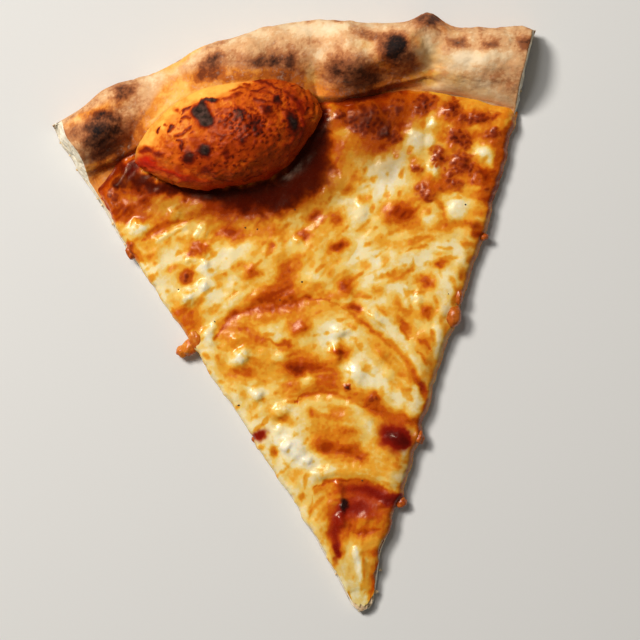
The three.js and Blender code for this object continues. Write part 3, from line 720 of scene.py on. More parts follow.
B_LINES = [([(181, 113.5), (186, 110), (191, 107.5)], 1.5, 0.70, 0.9), ([(180, 119), (186, 118), (192, 117)], 1.9, 0.62, 0.9),
           ([(180.5, 123), (182, 120)], 1.5, 0.62, 0.8), ([(156.5, 134), (157, 129.5), (160, 127)], 1.6, 0.74, 0.95),
           ([(169, 133), (171, 128.5), (173.5, 126)], 2.0, 0.70, 0.9), ([(164, 125), (168, 125.5)], 1.3, 0.56, 0.8),
           ([(175, 137), (178.5, 134), (185, 133)], 1.7, 0.62, 0.85), ([(183, 131.5), (189, 128.5), (193, 126)], 1.8, 0.60, 0.8),
           ([(177, 141.5), (181, 140), (184, 145.5)], 1.6, 0.66, 0.8), ([(181.5, 144), (182.5, 150)], 1.7, 0.70, 0.8),
           ([(253, 80), (263, 83), (271.5, 85)], 1.7, 0.64, 0.9), ([(270, 84), (278.5, 88.5)], 1.6, 0.66, 0.9),
           ([(250, 93), (257, 90.5), (265.5, 88.5)], 1.6, 0.62, 0.9), ([(253, 98.5), (257, 101.5), (265.5, 100.5)], 1.6, 0.66, 0.85),
           ([(243, 83), (250.5, 85.5)], 1.4, 0.58, 0.8), ([(230, 91.5), (238, 88), (246, 87)], 1.6, 0.56, 0.8),
           ([(283, 90), (290, 96), (296, 103)], 1.8, 0.62, 0.8), ([(292, 97), (297, 101), (300, 107)], 1.8, 0.72, 0.85),
           ([(221, 100), (227, 98.5), (233, 98)], 1.4, 0.52, 0.8), ([(262, 104), (268, 102), (274, 105)], 1.4, 0.60, 0.8),
           ([(258, 92), (268, 93), (277, 96)], 1.3, 0.56, 0.8), ([(190, 134), (196, 132)], 1.5, 0.56, 0.8),
           ([(198, 140), (200, 144)], 1.4, 0.52, 0.7), ([(207, 132), (213, 133)], 1.2, 0.50, 0.7), ([(235, 104), (238, 108)], 1.3, 0.54, 0.7),
           ([(246, 106), (252, 110), (256, 114)], 1.5, 0.64, 0.8), ([(262, 117), (266, 122)], 1.4, 0.6, 0.7),
           ([(280, 108), (286, 112), (288, 117)], 1.5, 0.62, 0.7), ([(303, 118), (302, 130), (298, 142)], 2.2, 0.66, 0.8),
           ([(296, 130), (292, 140), (286, 150)], 1.6, 0.58, 0.6), ([(160, 170), (176, 175), (192, 181)], 2.2, 0.58, 0.7),
           ([(212, 176), (222, 180), (234, 180)], 1.6, 0.62, 0.7), ([(240, 180), (252, 176), (262, 170)], 1.8, 0.64, 0.7)]
B_RED = [(145, 162, 11, 7.5, 0, 1.0), (156, 168, 12, 5, -20, 0.8), (175, 174, 14, 5, -14, 0.6), (200, 184, 18, 5, -6, 0.6),
         (240, 182, 22, 6, 8, 0.6), (266, 172, 16, 6, 32, 0.6), (290, 152, 12, 6, 48, 0.6), (306, 126, 6, 14, 0, 0.7),
         (300, 104, 8, 8, 0, 0.5)]


def blister_mesh():
    nu, nv = int(200 / FINE), int(290 / FINE)
    u = -np.cos(np.linspace(0, math.pi, nu))
    v = np.linspace(0, 2 * math.pi, nv, endpoint=False)
    U, V = np.meshgrid(u[1:-1], v, indexing="ij")
    cy, cz = np.cos(V), np.sin(V)
    opened = 1 - U * U
    far = BLISTER["far"] * opened ** mix(0.7, 0.5, smooth(-0.3, 0.4, U))
    near = BLISTER["near"] * opened ** 0.9
    wave = 1 + 0.035 * np.sin(5 * U + 2 * cy + 1) + 0.03 * np.sin(3.1 * cz - 4 * U + 2.5 * cy)
    y = cy * np.where(cy > 0, far, near) * wave
    z = cz * np.where(cz > 0, BLISTER["up"], BLISTER["down"]) * opened ** 0.62 * wave
    x = U * BLISTER["half"]
    t = math.radians(BLISTER["turn"])
    body = np.stack([x * math.cos(t) - y * math.sin(t) + BLISTER["x"], x * math.sin(t) + y * math.cos(t) + BLISTER["y"],
                     z + BLISTER["z"]], -1)
    ends = [(-BLISTER["half"] * math.cos(t) + BLISTER["x"], -BLISTER["half"] * math.sin(t) + BLISTER["y"], BLISTER["z"]),
            (BLISTER["half"] * math.cos(t) + BLISTER["x"], BLISTER["half"] * math.sin(t) + BLISTER["y"], BLISTER["z"])]
    verts = body.reshape(-1, 3).tolist()
    a, b = len(verts), len(verts) + 1
    verts += ends
    faces = []
    for i in range(nu - 3):
        for j in range(nv):
            k = (j + 1) % nv
            faces.append((i * nv + j, (i + 1) * nv + j, (i + 1) * nv + k, i * nv + k)[::-1])
    for j in range(nv):
        k = (j + 1) % nv
        faces.append((a, k, j)[::-1])
        faces.append((b, (nu - 3) * nv + j, (nu - 3) * nv + k)[::-1])
    verts = np.array(verts)
    n = normals_of(verts, faces)
    if (n * (verts - verts.mean(0))).sum() < 0:
        faces = [f[::-1] for f in faces]
        n = -n
    x, y, z = verts.T
    px, py = seen(x, y, z)
    wx, wy = wander(px, py, 6.0, 0.8)
    qx, qy = px + wx, py + wy
    black = union(qx, qy, B_CHAR, 3.4)
    red = union(qx, qy, B_RED, 2.2)
    scarlet = union(qx, qy, [(145, 162, 9.5, 6.4, 0, 1.0), (153, 166, 8, 4, -20, 0.8), (137, 165, 4, 5, 0, 0.8), (174, 175, 17, 4.4, -14, 0.5),
                             (202, 184, 22, 4.4, -6, 0.55), (236, 186, 20, 4.4, 6, 0.5), (268, 176, 12, 5, 30, 0.35)], 2.6)
    # The bare dough along the side that leans on the rim.
    edge, _, _ = near_line(px, py, [(126, 166), (136, 152), (150, 137), (160, 122), (176, 106), (196, 97), (216, 90), (240, 80), (266, 72), (300, 74)])
    bare = smooth(-13.0, -2.0, edge + 2.2 * fbm(px / 7, py / 7, 3.0, 3)) * smooth(262, 232, px + 0.6 * py - 60)
    patch = fbm(px / 16, py / 16, 9.0, 3)
    c1, c2, lot = cells(qx / 6.5, qy / 4.6, 33, True)
    tone = np.full(px.shape, 0.36)
    tone = paint(tone, qx, qy, B_BROAD, 1.8)
    tone += 0.035 * patch + 0.03 * fbm(px / 5, py / 5, 12.0, 2)
    small = fbm(px / 4.6, py / 3.4, 43.0, 2)
    tone += 0.20 * smooth(0.45, 1.3, small) * smooth(0.30, 0.50, tone) + 0.07 * smooth(0.45, 1.3, small)
    tone -= 0.05 * smooth(-0.5, -1.3, small)
    seam = smooth(0.16, 0.03, c2 - c1) * smooth(0.45, 0.9, lot)
    tone += 0.13 * seam * (1 - bare)
    tone = mix(tone, 0.17 + 0.04 * patch + 0.10 * smooth(-2, -12, edge), bare)
    tone = paint(tone, qx, qy, B_DABS, 2.6)
    crust = union(qx, qy, [(242, 122, 24, 17, -15, 1.0), (262, 130, 14, 12, 0, 0.7), (214, 146, 16, 9, 20, 0.5), (282, 104, 18, 14, -40, 0.6),
                           (232, 168, 30, 9, 5, 0.45), (168, 142, 14, 10, 30, 0.35)], 2.4)
    d1, d2 = cells(qx / 5.4, qy / 5.0, 51)
    tone += crust * (0.20 * smooth(0.46, 0.16, d1) - 0.12 * smooth(0.22, 0.05, d2 - d1)) * (1 - bare)
    tone = draw(tone, qx, qy, B_LINES)
    tone = draw(tone, qx, qy, [(q, 0.62 * w_, min(0.95, t_ + 0.12), 0.8) for q, w_, t_, c_ in B_LINES])
    tone = np.clip(tone + (1.0 - tone) * black, 0, 1)
    rough = 1 - 0.8 * bare
    lumps = 0.45 * fbm(x / 8, y / 8, z / 8, 3) + 0.22 * fbm(x / 3.4, y / 3.4, z / 3.4, 2) + 0.03 * fbm(x / 1.4, y / 1.4, z / 1.4, 2)
    crisp = rough * (0.5 * smooth(0.35, 0.85, tone) * (1 - black) - 0.10 * seam + 0.25 * crust * smooth(0.5, 0.2, d1))
    crisp = crisp + 0.5 * smooth(0.2, 0.8, black) + 0.16 * black * fbm(px / 2.6, py / 2.6, 2.0, 2)
    verts = verts + n * (lumps * (0.25 + 0.75 * rough) + crisp)[:, None]
    layers = {"bare": bare, "tone": tone, "red": red, "scarlet": scarlet, "black": black}
    return verts, faces, layers


# ------------------------------------------------------------------ cheese
# Tone of its surface: 0.05 cream, 0.3 golden, 0.45 orange, 0.6 browned, 0.8 red brown. Dabs in view units:
# (x, y, rx, ry, turn, tone, cover), laid one after another, broad ones first.
C_BROAD = [
    # Painted shade, in part over toasted clumps: the dabs at 350, 160 and 345, 148 and 378, 146 darken the cheese in
    # the shade of the blister and the rim, and the dark one at 370, 114 lies under the rim's overhang.
    (350, 160, 44, 18, 20, 0.26, 0.6), (135, 212, 23, 16, 20, 0.54, 0.92), (180, 215, 22, 12, 15, 0.28, 0.6), (215, 216, 28, 8, 0, 0.36, 0.65),
    (262, 215, 26, 9, 10, 0.30, 0.5), (462, 130, 46, 36, 0, 0.58, 0.97), (424, 106, 22, 14, 0, 0.58, 0.95), (492, 175, 16, 26, 10, 0.60, 0.95),
    (450, 187, 24, 10, 0, 0.48, 0.92), (370, 114, 44, 22, 0, 0.82, 0.98), (345, 148, 22, 10, 20, 0.37, 0.85), (378, 146, 22, 9, 10, 0.66, 0.9),
    (250, 335, 42, 16, 15, 0.28, 0.35), (228, 331, 20, 10, 25, 0.40, 0.75), (300, 314, 26, 9, 0, 0.40, 0.55), (300, 372, 34, 15, 0, 0.46, 0.7),
    (322, 380, 20, 12, 0, 0.46, 0.65), (250, 372, 24, 12, 0, 0.36, 0.4), (336, 440, 25, 18, 0, 0.46, 0.9), (336, 416, 12, 10, 0, 0.34, 0.6),
    (392, 356, 28, 13, -45, 0.38, 0.6), (395, 420, 26, 9, -22, 0.52, 0.85), (350, 500, 27, 18, 0, 0.50, 0.92), (362, 530, 22, 8, 0, 0.40, 0.8),
    (358, 572, 16, 30, 0, 0.20, 0.95), (190, 314, 15, 12, -45, 0.46, 0.85), (270, 297, 27, 11, 10, 0.58, 0.95), (430, 290, 26, 20, 0, 0.22, 0.5),
    (404, 245, 34, 12, 8, 0.24, 0.5), (210, 300, 20, 20, 0, 0.10, 0.5), (120, 190, 16, 20, 10, 0.60, 0.95), (116, 168, 18, 9, 20, 0.64, 0.95),
    (158, 192, 36, 8, -6, 0.82, 0.95), (140, 206, 23, 12, 15, 0.62, 0.9), (205, 209, 34, 9, -4, 0.60, 0.85), (246, 206, 36, 9, 0, 0.78, 0.85),
    (250, 231, 32, 9, -2, 0.45, 0.75), (325, 232, 22, 14, 0, 0.33, 0.5), (165, 231, 18, 7, 25, 0.50, 0.6), (190, 242, 16, 8, 0, 0.29, 0.5),
    (285, 262, 26, 10, -10, 0.35, 0.45), (470, 200, 22, 20, 60, 0.60, 0.85), (440, 184, 20, 12, 0, 0.64, 0.8), (424, 228, 32, 8, -5, 0.42, 0.6),
    (272, 309, 42, 8, 0, 0.57, 0.85), (230, 322, 16, 10, 35, 0.48, 0.7), (346, 312, 26, 7, -20, 0.42, 0.6), (424, 355, 9, 28, 25, 0.38, 0.7),
    (292, 352, 26, 7, 0, 0.46, 0.45), (270, 371, 22, 8, 0, 0.48, 0.4), (302, 395, 32, 7, 5, 0.48, 0.55), (352, 408, 26, 8, -10, 0.42, 0.7),
    (385, 434, 11, 12, 0, 0.60, 0.85), (366, 452, 12, 8, 0, 0.50, 0.75), (386, 456, 8, 10, 0, 0.44, 0.7), (362, 470, 30, 8, 0, 0.37, 0.75),
    (362, 504, 24, 14, 0, 0.72, 0.9), (382, 512, 10, 11, 0, 0.62, 0.85), (362, 531, 22, 8, 0, 0.58, 0.85), (340, 531, 12, 9, 0, 0.62, 0.8),
    (382, 532, 7, 10, 0, 0.52, 0.7), (342, 552, 8, 12, 0, 0.34, 0.6), (410, 318, 20, 12, 0, 0.32, 0.5), (300, 425, 14, 10, 0, 0.20, 0.4),
    # the palest patches
    (228, 262, 20, 16, 20, 0.07, 0.8), (206, 275, 14, 16, 0, 0.07, 0.8), (370, 205, 14, 16, 10, 0.07, 0.8), (350, 252, 16, 10, 10, 0.06, 0.8),
    (376, 256, 14, 8, 0, 0.08, 0.7), (394, 188, 12, 12, 40, 0.06, 0.8), (334, 331, 16, 12, 0, 0.08, 0.8), (226, 346, 9, 10, 35, 0.08, 0.7),
    (361, 370, 14, 10, 0, 0.06, 0.8), (246, 394, 12, 10, 0, 0.12, 0.7), (286, 437, 14, 14, 0, 0.07, 0.85), (301, 452, 12, 14, 0, 0.05, 0.85),
    (324, 467, 14, 5, 0, 0.10, 0.7), (422, 262, 16, 8, 0, 0.10, 0.7), (442, 282, 10, 12, 0, 0.10, 0.7), (232, 301, 12, 8, 30, 0.08, 0.7),
    (402, 292, 8, 10, 20, 0.08, 0.7), (370, 340, 8, 10, 0, 0.12, 0.5)]
C_DABS = [
    (147, 204, 7, 9, 0, 0.72, 0.8), (116, 201, 4.5, 8, 10, 0.82, 0.9), (123, 204, 4, 6, 0, 0.16, 0.7), (135, 201, 7, 4, 20, 0.30, 0.6),
    (136, 224, 10, 7, 25, 0.10, 0.85), (151, 231, 17, 5.4, 28, 0.58, 0.85), (164, 222, 9, 4, 30, 0.50, 0.7), (157.5, 229, 3, 3, 0, 0.75, 0.7),
    (174, 214, 6.5, 8, -10, 0.22, 0.8), (169, 244, 4.5, 3.5, 0, 0.46, 0.7), (179, 240, 7, 3.5, 15, 0.48, 0.75), (160, 247, 6, 4, 0, 0.30, 0.5),
    (196, 212, 8, 4, 10, 0.44, 0.6), (210, 220, 13, 5, 0, 0.42, 0.65), (229, 211, 5, 4, 0, 0.75, 0.7), (229, 221, 6, 8, 0, 0.48, 0.7),
    (251, 219, 8, 5, 0, 0.46, 0.6), (262, 226, 7, 4, 10, 0.40, 0.5), (276, 220, 14, 4, 25, 0.42, 0.6), (277.5, 232.5, 11, 5.5, -5, 0.54, 0.75),
    (229, 233, 14, 8, -5, 0.50, 0.95), (230, 233, 8.5, 5.4, 0, 0.74, 0.9), (217, 234, 6, 4, 0, 0.56, 0.8), (240, 237, 6, 4.5, 0, 0.58, 0.8),
    (222, 241, 7, 4, 0, 0.34, 0.6), (197.5, 250, 12, 11, 20, 0.46, 0.9), (198.5, 249.5, 8, 7.5, 20, 0.80, 0.95), (190, 255, 4, 3, 0, 0.6, 0.7),
    (174, 268, 11, 3.5, 18, 0.44, 0.75), (188, 278, 11.5, 8.5, 0, 0.46, 0.85), (187, 277, 6.5, 6.5, 0, 0.86, 0.95), (196, 281, 5, 4, 0, 0.50, 0.8),
    (142, 254, 13, 7, 0, 0.44, 0.75), (140, 249, 5, 3, 0, 0.14, 0.6), (151, 257.5, 5.5, 4.5, 0, 0.66, 0.85), (135, 255, 7, 4, 0, 0.52, 0.7),
    (130.6, 250, 3.5, 7, 0, 0.88, 0.9), (152.5, 274, 5, 5, 0, 0.30, 0.6), (164, 279, 4, 5, 0, 0.26, 0.5), (200, 299, 5.5, 3.8, 0, 0.58, 0.75),
    (196, 303, 4, 5, 0, 0.5, 0.6), (185, 310, 14, 8, -45, 0.56, 0.85), (190, 319, 11, 9, -45, 0.56, 0.85), (196, 326, 7, 8, 0, 0.48, 0.8),
    (217.5, 280, 7, 8.6, 15, 0.40, 0.85), (224, 275, 5.5, 3.8, 20, 0.36, 0.6), (248, 270, 14, 9.5, -15, 0.44, 0.9), (252.5, 274, 6, 5.5, 0, 0.68, 0.85),
    (241, 266, 6, 4, 0, 0.48, 0.6), (247, 284, 7, 4, 35, 0.30, 0.5), (214, 312.5, 6, 4, 0, 0.44, 0.7), (270.6, 246, 3.8, 4.6, 0, 0.66, 0.85),
    (262, 242, 7, 3.5, 25, 0.40, 0.6), (260, 252.5, 7, 4, 0, 0.40, 0.65), (282.5, 244, 4, 8, 0, 0.40, 0.6), (283, 270, 8, 11, -10, 0.52, 0.85),
    (288, 276, 10, 17, -5, 0.60, 0.9), (270, 298, 23, 9.5, 10, 0.64, 0.95), (262, 300, 12, 6, 20, 0.72, 0.7), (285, 292, 12, 10, 0, 0.66, 0.85),
    (296, 262, 5, 10, -15, 0.54, 0.8), (218, 337, 7, 5, 30, 0.40, 0.7), (230, 331, 14, 6, 25, 0.46, 0.85), (254, 323, 22, 5, 15, 0.36, 0.75),
    (247.5, 330, 9, 3.2, -5, 0.60, 0.8), (258, 339, 10, 4.6, -18, 0.64, 0.9), (264, 324, 6, 3, 0, 0.5, 0.6), (286, 344, 8.5, 4.2, 0, 0.68, 0.92),
    (279, 333, 10, 6, 0, 0.12, 0.6),
    (401, 213, 21, 15, 0, 0.46, 0.95), (402, 213, 13.5, 10, 5, 0.76, 0.95), (386, 206, 6, 5, 0, 0.48, 0.7), (410, 222, 8, 5, 0, 0.56, 0.6),
    (364, 199, 6.5, 6.5, 0, 0.52, 0.8), (355, 176, 5, 7, 0, 0.50, 0.85), (363, 180, 7, 4, 0, 0.44, 0.7), (349, 190, 6, 6, 0, 0.58, 0.75),
    (314, 218.5, 12, 7.5, 35, 0.50, 0.9), (316, 216, 7.5, 4.8, 35, 0.68, 0.8), (336, 219, 10, 8.4, 0, 0.48, 0.9), (337, 219, 5.4, 5.2, 0, 0.66, 0.8),
    (304, 234, 8.5, 8.5, 0, 0.46, 0.9), (303.5, 235, 4.8, 4.8, 0, 0.72, 0.85), (309, 229, 5, 4, 0, 0.38, 0.6), (321, 240, 8, 12, 0, 0.34, 0.6),
    (340, 246.4, 12, 7.5, 14, 0.48, 0.9), (340, 246, 8.2, 4.8, 15, 0.78, 0.95), (311, 259, 5, 8, 0, 0.44, 0.7), (333, 259, 7, 5, 20, 0.42, 0.6),
    (331, 274, 5, 6, 0, 0.46, 0.7), (323, 262, 4, 5, 0, 0.36, 0.5), (364, 229, 9, 5, 20, 0.40, 0.65), (380, 241, 10, 6.5, 0, 0.36, 0.7),
    (386, 243, 6, 3, 0, 0.42, 0.5), (363.6, 265.7, 5.8, 5.2, 0, 0.40, 0.85), (385, 260, 3.6, 5, 0, 0.38, 0.7), (398, 275.5, 11, 5.6, 8, 0.44, 0.85),
    (413, 241.5, 9, 4, 15, 0.46, 0.75), (398.6, 247, 4.5, 4, 0, 0.42, 0.6), (427, 240, 12, 3, 12, 0.42, 0.65), (423, 247, 4.5, 2.2, 10, 0.56, 0.7),
    (442, 253, 9, 2, 5, 0.42, 0.6), (441, 263.5, 9.5, 5, 20, 0.52, 0.9), (440, 264, 5.4, 3.2, 20, 0.72, 0.75), (451, 259, 7, 2.4, 20, 0.44, 0.7),
    (458.6, 268.6, 5, 3.6, 0, 0.42, 0.6), (463, 276, 4, 5, 0, 0.66, 0.85), (459, 294, 4, 8, -10, 0.62, 0.8), (424, 281.5, 10.5, 8.2, 0, 0.46, 0.9),
    (426, 281.5, 6.2, 5.2, 0, 0.68, 0.85), (377, 291.4, 7, 6, 0, 0.42, 0.85), (346, 285, 11.5, 15, 0, 0.48, 0.92), (346, 287, 6.4, 9.4, 0, 0.72, 0.85),
    (358, 294, 9, 4, 0, 0.48, 0.7), (354, 307, 10.5, 6.4, -20, 0.54, 0.9), (354, 307, 6.5, 4.2, -20, 0.80, 0.9), (397, 303, 6, 8, 10, 0.48, 0.75),
    (386, 311, 9, 4, 0, 0.44, 0.7), (404, 323, 11, 4.4, -52, 0.64, 0.9), (407, 314, 5, 5, 0, 0.5, 0.7), (427, 311.4, 10, 8.5, 0, 0.48, 0.9),
    (427, 312, 5.4, 5.4, 0, 0.66, 0.75), (445, 208, 5, 14, 15, 0.46, 0.85), (446, 223, 9, 6, 0, 0.52, 0.85), (460, 224, 16, 3.6, -3, 0.56, 0.9),
    (478, 230, 7, 8, 0, 0.62, 0.9), (479, 232, 4.5, 5, 0, 0.80, 0.9), (471.4, 208.6, 7, 4.5, 0, 0.44, 0.75), (484, 198.6, 5, 10, 10, 0.58, 0.9),
    (423, 207, 8, 6, 0, 0.36, 0.6), (440, 215, 5, 5, 0, 0.40, 0.5), (455.7, 208.6, 9, 10, 0, 0.05, 0.9), (428.6, 218.6, 6, 6, 0, 0.08, 0.7),
    (316, 289, 11, 6, 20, 0.48, 0.8), (325, 296, 12, 6, 0, 0.52, 0.8), (294, 311, 18, 6, 0, 0.40, 0.8), (298.6, 327, 13, 9.5, 0, 0.48, 0.9),
    (299, 328, 9, 7, 0, 0.64, 0.8), (353, 324, 10, 3, 5, 0.40, 0.7), (320, 312, 12, 4, 0, 0.36, 0.5),
    (245.6, 347, 8, 6, 0, 0.56, 0.85), (237, 343, 8, 5, 0, 0.5, 0.6), (263, 352, 13, 5.5, 0, 0.16, 0.75), (281, 356, 6, 5, 0, 0.10, 0.7),
    (232, 372, 5.8, 4.6, 0, 0.72, 0.9), (247, 369, 10.5, 8.5, 10, 0.56, 0.92), (246, 370, 6.4, 5.2, 0, 0.72, 0.8), (262, 366, 12, 7, 0, 0.38, 0.7),
    (296.7, 366.7, 9.5, 8.5, 0, 0.82, 0.92), (298, 356, 12, 7, 0, 0.54, 0.85), (313, 368, 14, 6.8, 5, 0.72, 0.92), (330, 370, 10, 6, 0, 0.64, 0.8),
    (293, 385.5, 11, 8.5, 10, 0.48, 0.9), (263, 380, 5.5, 6, 0, 0.50, 0.8), (257, 386, 3.5, 5, 0, 0.44, 0.7), (272, 376, 10, 5, 0, 0.32, 0.5),
    (310, 382, 7.5, 7, 0, 0.15, 0.85), (327, 380, 11, 8, -10, 0.60, 0.9), (316, 394.5, 13, 3.2, 5, 0.60, 0.9), (332, 395.5, 10, 3.2, -5, 0.56, 0.85),
    (244, 395.5, 4, 6, -20, 0.42, 0.8), (252, 408, 4, 7.5, -25, 0.48, 0.8), (281, 419, 7, 5, 25, 0.62, 0.85), (289.5, 423, 5.5, 4.5, 0, 0.46, 0.75),
    (270, 412, 6, 10, 35, 0.36, 0.7), (274.4, 451.5, 3.4, 6.4, 10, 0.64, 0.85), (313, 412, 5.8, 5.4, 0, 0.60, 0.9), (335.5, 414.5, 8, 8.5, 0, 0.48, 0.85),
    (316, 423, 8, 5, 0, 0.36, 0.6), (313, 345.5, 4.5, 5, 0, 0.34, 0.7), (341, 351, 10.5, 11, 0, 0.52, 0.92), (341, 351, 6.8, 7.4, 0, 0.84, 0.92),
    (218, 360, 5, 7, 0, 0.30, 0.7), (224, 350, 7, 6, 0, 0.36, 0.5), (348, 388, 4.8, 4.2, 0, 0.64, 0.8), (354.4, 395.5, 8, 6, 0, 0.42, 0.75),
    (373, 399, 9, 8.5, 0, 0.60, 0.92), (373.5, 399.5, 5.8, 5.8, 0, 0.90, 0.92), (377, 409, 12, 4.4, -15, 0.60, 0.9), (362, 391, 10, 5, -25, 0.42, 0.7),
    (363, 366.7, 5, 4.4, 0, 0.44, 0.85), (393, 386.7, 5.6, 5.6, 0, 0.46, 0.9), (405.5, 405.5, 3.4, 7, -20, 0.38, 0.7), (381, 346, 17, 8, -45, 0.42, 0.8),
    (389, 357, 11, 10, 0, 0.40, 0.75), (405, 373, 8, 6, 0, 0.48, 0.8), (376, 352, 6, 6, 0, 0.34, 0.5), (422, 386, 12, 3.8, -60, 0.88, 0.95),
    (394, 417, 17, 6, -20, 0.62, 0.9), (410, 421, 9, 4, 0, 0.60, 0.85), (416, 424, 5, 4, 0, 0.74, 0.8), (335.5, 438, 22, 15, 0, 0.47, 0.92),
    (317, 438, 5, 6, 0, 0.58, 0.7), (327, 449, 9, 4.8, 0, 0.80, 0.95), (346, 450.5, 10.5, 5.6, -5, 0.76, 0.95), (360, 457.5, 8, 6, 0, 0.72, 0.9),
    (336, 449, 22, 6, 0, 0.62, 0.6), (358, 420, 8, 7, -50, 0.20, 0.7), (366, 438, 6, 10, 0, 0.20, 0.75), (377, 455, 11, 4, -20, 0.26, 0.7),
    (418, 436, 4.5, 7, 0, 0.22, 0.8), (376, 382, 13, 9, 0, 0.08, 0.8), (406, 391, 9, 9, 0, 0.10, 0.8), (416, 367, 16, 5, -58, 0.10, 0.8),
    (345, 466, 8, 4, 0, 0.30, 0.6), (386, 469, 9, 3.4, -10, 0.40, 0.7), (295, 474, 10, 6, 20, 0.42, 0.8), (302, 500, 5, 6, 0, 0.32, 0.6),
    (312, 508, 3, 12, -15, 0.36, 0.7), (317.5, 489, 7, 4.5, 10, 0.50, 0.85), (356, 488, 24, 6, -3, 0.68, 0.95), (377, 495, 15, 7, -20, 0.74, 0.95),
    (391, 501, 8.5, 6, -10, 0.80, 0.9), (399, 500, 4.5, 5, 0, 0.72, 0.8), (332.5, 508, 9, 10, 0, 0.56, 0.92), (355, 503, 10, 9, 0, 0.70, 0.92),
    (350, 516, 10, 9, 0, 0.64, 0.9), (366, 518, 7, 4, 0, 0.46, 0.6), (380, 519, 9, 5, 0, 0.52, 0.6), (333, 531, 7.5, 14, -10, 0.68, 0.92),
    (336.5, 551, 4, 13, -5, 0.74, 0.92), (351, 535, 10, 4, 0, 0.46, 0.6), (365, 545, 13, 6, 0, 0.38, 0.7), (374, 552.5, 5.8, 4.8, 0, 0.68, 0.92),
    (366, 553, 8, 2.4, 0, 0.46, 0.6), (366, 582, 4, 13, -5, 0.33, 0.8), (349, 568, 5, 11, 10, 0.25, 0.6), (373, 580, 4, 14, -8, 0.50, 0.85), (352, 596, 8, 7, 0, 0.12, 0.7),
    (480, 175, 9, 9, 0, 0.76, 0.9), (124, 208, 9, 11, 10, 0.70, 0.85), (165, 215, 9, 8, 0, 0.42, 0.6), (312, 500, 8, 10, 0, 0.20, 0.75),
    # the whitest swellings, partly painted highlights where the light catches them, and the orange between them
    (240, 357, 8, 11, -30, 0.02, 0.85), (140, 227, 11, 8, 25, 0.03, 0.9), (205, 266, 7, 9, 10, 0.02, 0.85), (203, 287, 9, 7, 0, 0.02, 0.85),
    (188, 298, 11, 6, 25, 0.03, 0.85), (333, 337, 7, 9, 0, 0.02, 0.8), (355, 372, 11, 10, 0, 0.03, 0.8), (293, 449, 15, 9, -32, 0.02, 0.85),
    (307, 462, 9, 6, 0, 0.03, 0.8), (256, 391, 8, 7, 0, 0.04, 0.7), (208, 338, 5, 8, 35, 0.02, 0.9), (154, 268, 8, 9, 0, 0.10, 0.6), (158, 282, 7, 9, 20, 0.10, 0.6),
    (228, 334, 11, 5, 30, 0.42, 0.75), (222, 360, 5, 11, -20, 0.34, 0.6), (236, 344, 7, 4, 20, 0.46, 0.6), (262, 347, 9, 5, 0, 0.50, 0.6),
    (150, 250, 12, 6, 10, 0.30, 0.6), (178, 302, 6, 5, 0, 0.36, 0.5), (348, 300, 8, 5, 0, 0.10, 0.6), (318, 302, 9, 5, 0, 0.16, 0.6),
    (172, 199, 17, 7, 8, 0.15, 0.85), (190, 205, 10, 6, 0, 0.12, 0.7), (146, 196, 7, 4, -40, 0.34, 0.7), (127, 203, 5, 6, 0, 0.34, 0.7),
    (279, 301, 18, 7, 6, 0.72, 0.6), (424, 347, 9, 20, 25, 0.50, 0.5), (346, 471, 22, 6, 0, 0.44, 0.45), (241, 291, 14, 8, 0, 0.32, 0.45),
    (480, 176, 8, 8, 0, 0.84, 0.7), (300, 370, 10, 6, 0, 0.86, 0.5), (165, 216, 8, 5, 20, 0.52, 0.6), (125, 209, 7, 8, 10, 0.76, 0.7),
    (368, 566, 4, 14, -5, 0.42, 0.6), (352, 551, 5, 8, 0, 0.26, 0.6),
    (330, 388, 18, 7, 15, 0.54, 0.7), (352, 399, 15, 5, 15, 0.56, 0.7), (372, 412, 13, 5, 20, 0.62, 0.7), (230, 343, 8, 5, 0, 0.48, 0.7),
    (252, 340, 12, 5, 0, 0.50, 0.65), (263, 357, 10, 8, 0, 0.36, 0.55), (240, 373, 14, 6, 0, 0.56, 0.65), (224, 366, 5, 6, 0, 0.50, 0.6),
    (320, 386, 14, 6, 10, 0.58, 0.6), (306, 379, 6, 5, 0, 0.16, 0.7), (384, 352, 9, 7, -45, 0.36, 0.5), (346, 340, 6, 9, 0, 0.05, 0.6),
    (142, 216, 8, 5, 25, 0.60, 0.75), (129, 214, 6, 6, 0, 0.66, 0.75), (145, 201, 6, 6, 0, 0.80, 0.75), (159, 230, 8, 4, 28, 0.62, 0.65),
    (147, 243, 9, 4, 10, 0.42, 0.55), (439, 319, 5, 12, 5, 0.44, 0.55), (325, 399, 13, 3, 0, 0.52, 0.65), (398, 190, 6, 6, 0, 0.28, 0.6),
    (397, 455, 4, 7, 10, 0.60, 0.65), (342, 550, 4, 6, 0, 0.38, 0.65), (384, 372, 6, 6, 0, 0.28, 0.5), (398, 384, 9, 5, -40, 0.38, 0.6),
    (496, 152, 5, 13, 12, 0.72, 0.7), (453, 203, 6, 6, 0, 0.18, 0.5), (311, 301, 9, 4, -10, 0.56, 0.65), (341, 259, 9, 4, 12, 0.38, 0.55),
    (412, 376, 4, 11, -20, 0.58, 0.65), (467, 245, 4, 7, 0, 0.46, 0.6), (300, 284, 6, 5, 0, 0.24, 0.5), (440, 117, 5, 4, 0, 0.52, 0.5),
    (343, 524, 5, 6, 0, 0.54, 0.5), (325, 498, 5, 6, 0, 0.30, 0.5), (339, 495, 4, 4, 0, 0.42, 0.5),
    (146, 217, 6, 5, 25, 0.78, 0.7), (439, 317, 5, 10, 5, 0.56, 0.55), (326, 399, 10, 3, 0, 0.64, 0.55), (399, 189, 6, 6, 0, 0.38, 0.5),
    (454, 204, 6, 4, 0, 0.30, 0.45), (201, 328, 6, 5, -40, 0.50, 0.55), (229, 385, 6, 8, -30, 0.36, 0.5), (424, 371, 4, 9, -20, 0.50, 0.5),
    # among the crisp clumps near the rim; the palest dabs at 414.5, 139 and 449, 126.7 are painted highlights on
    # swellings
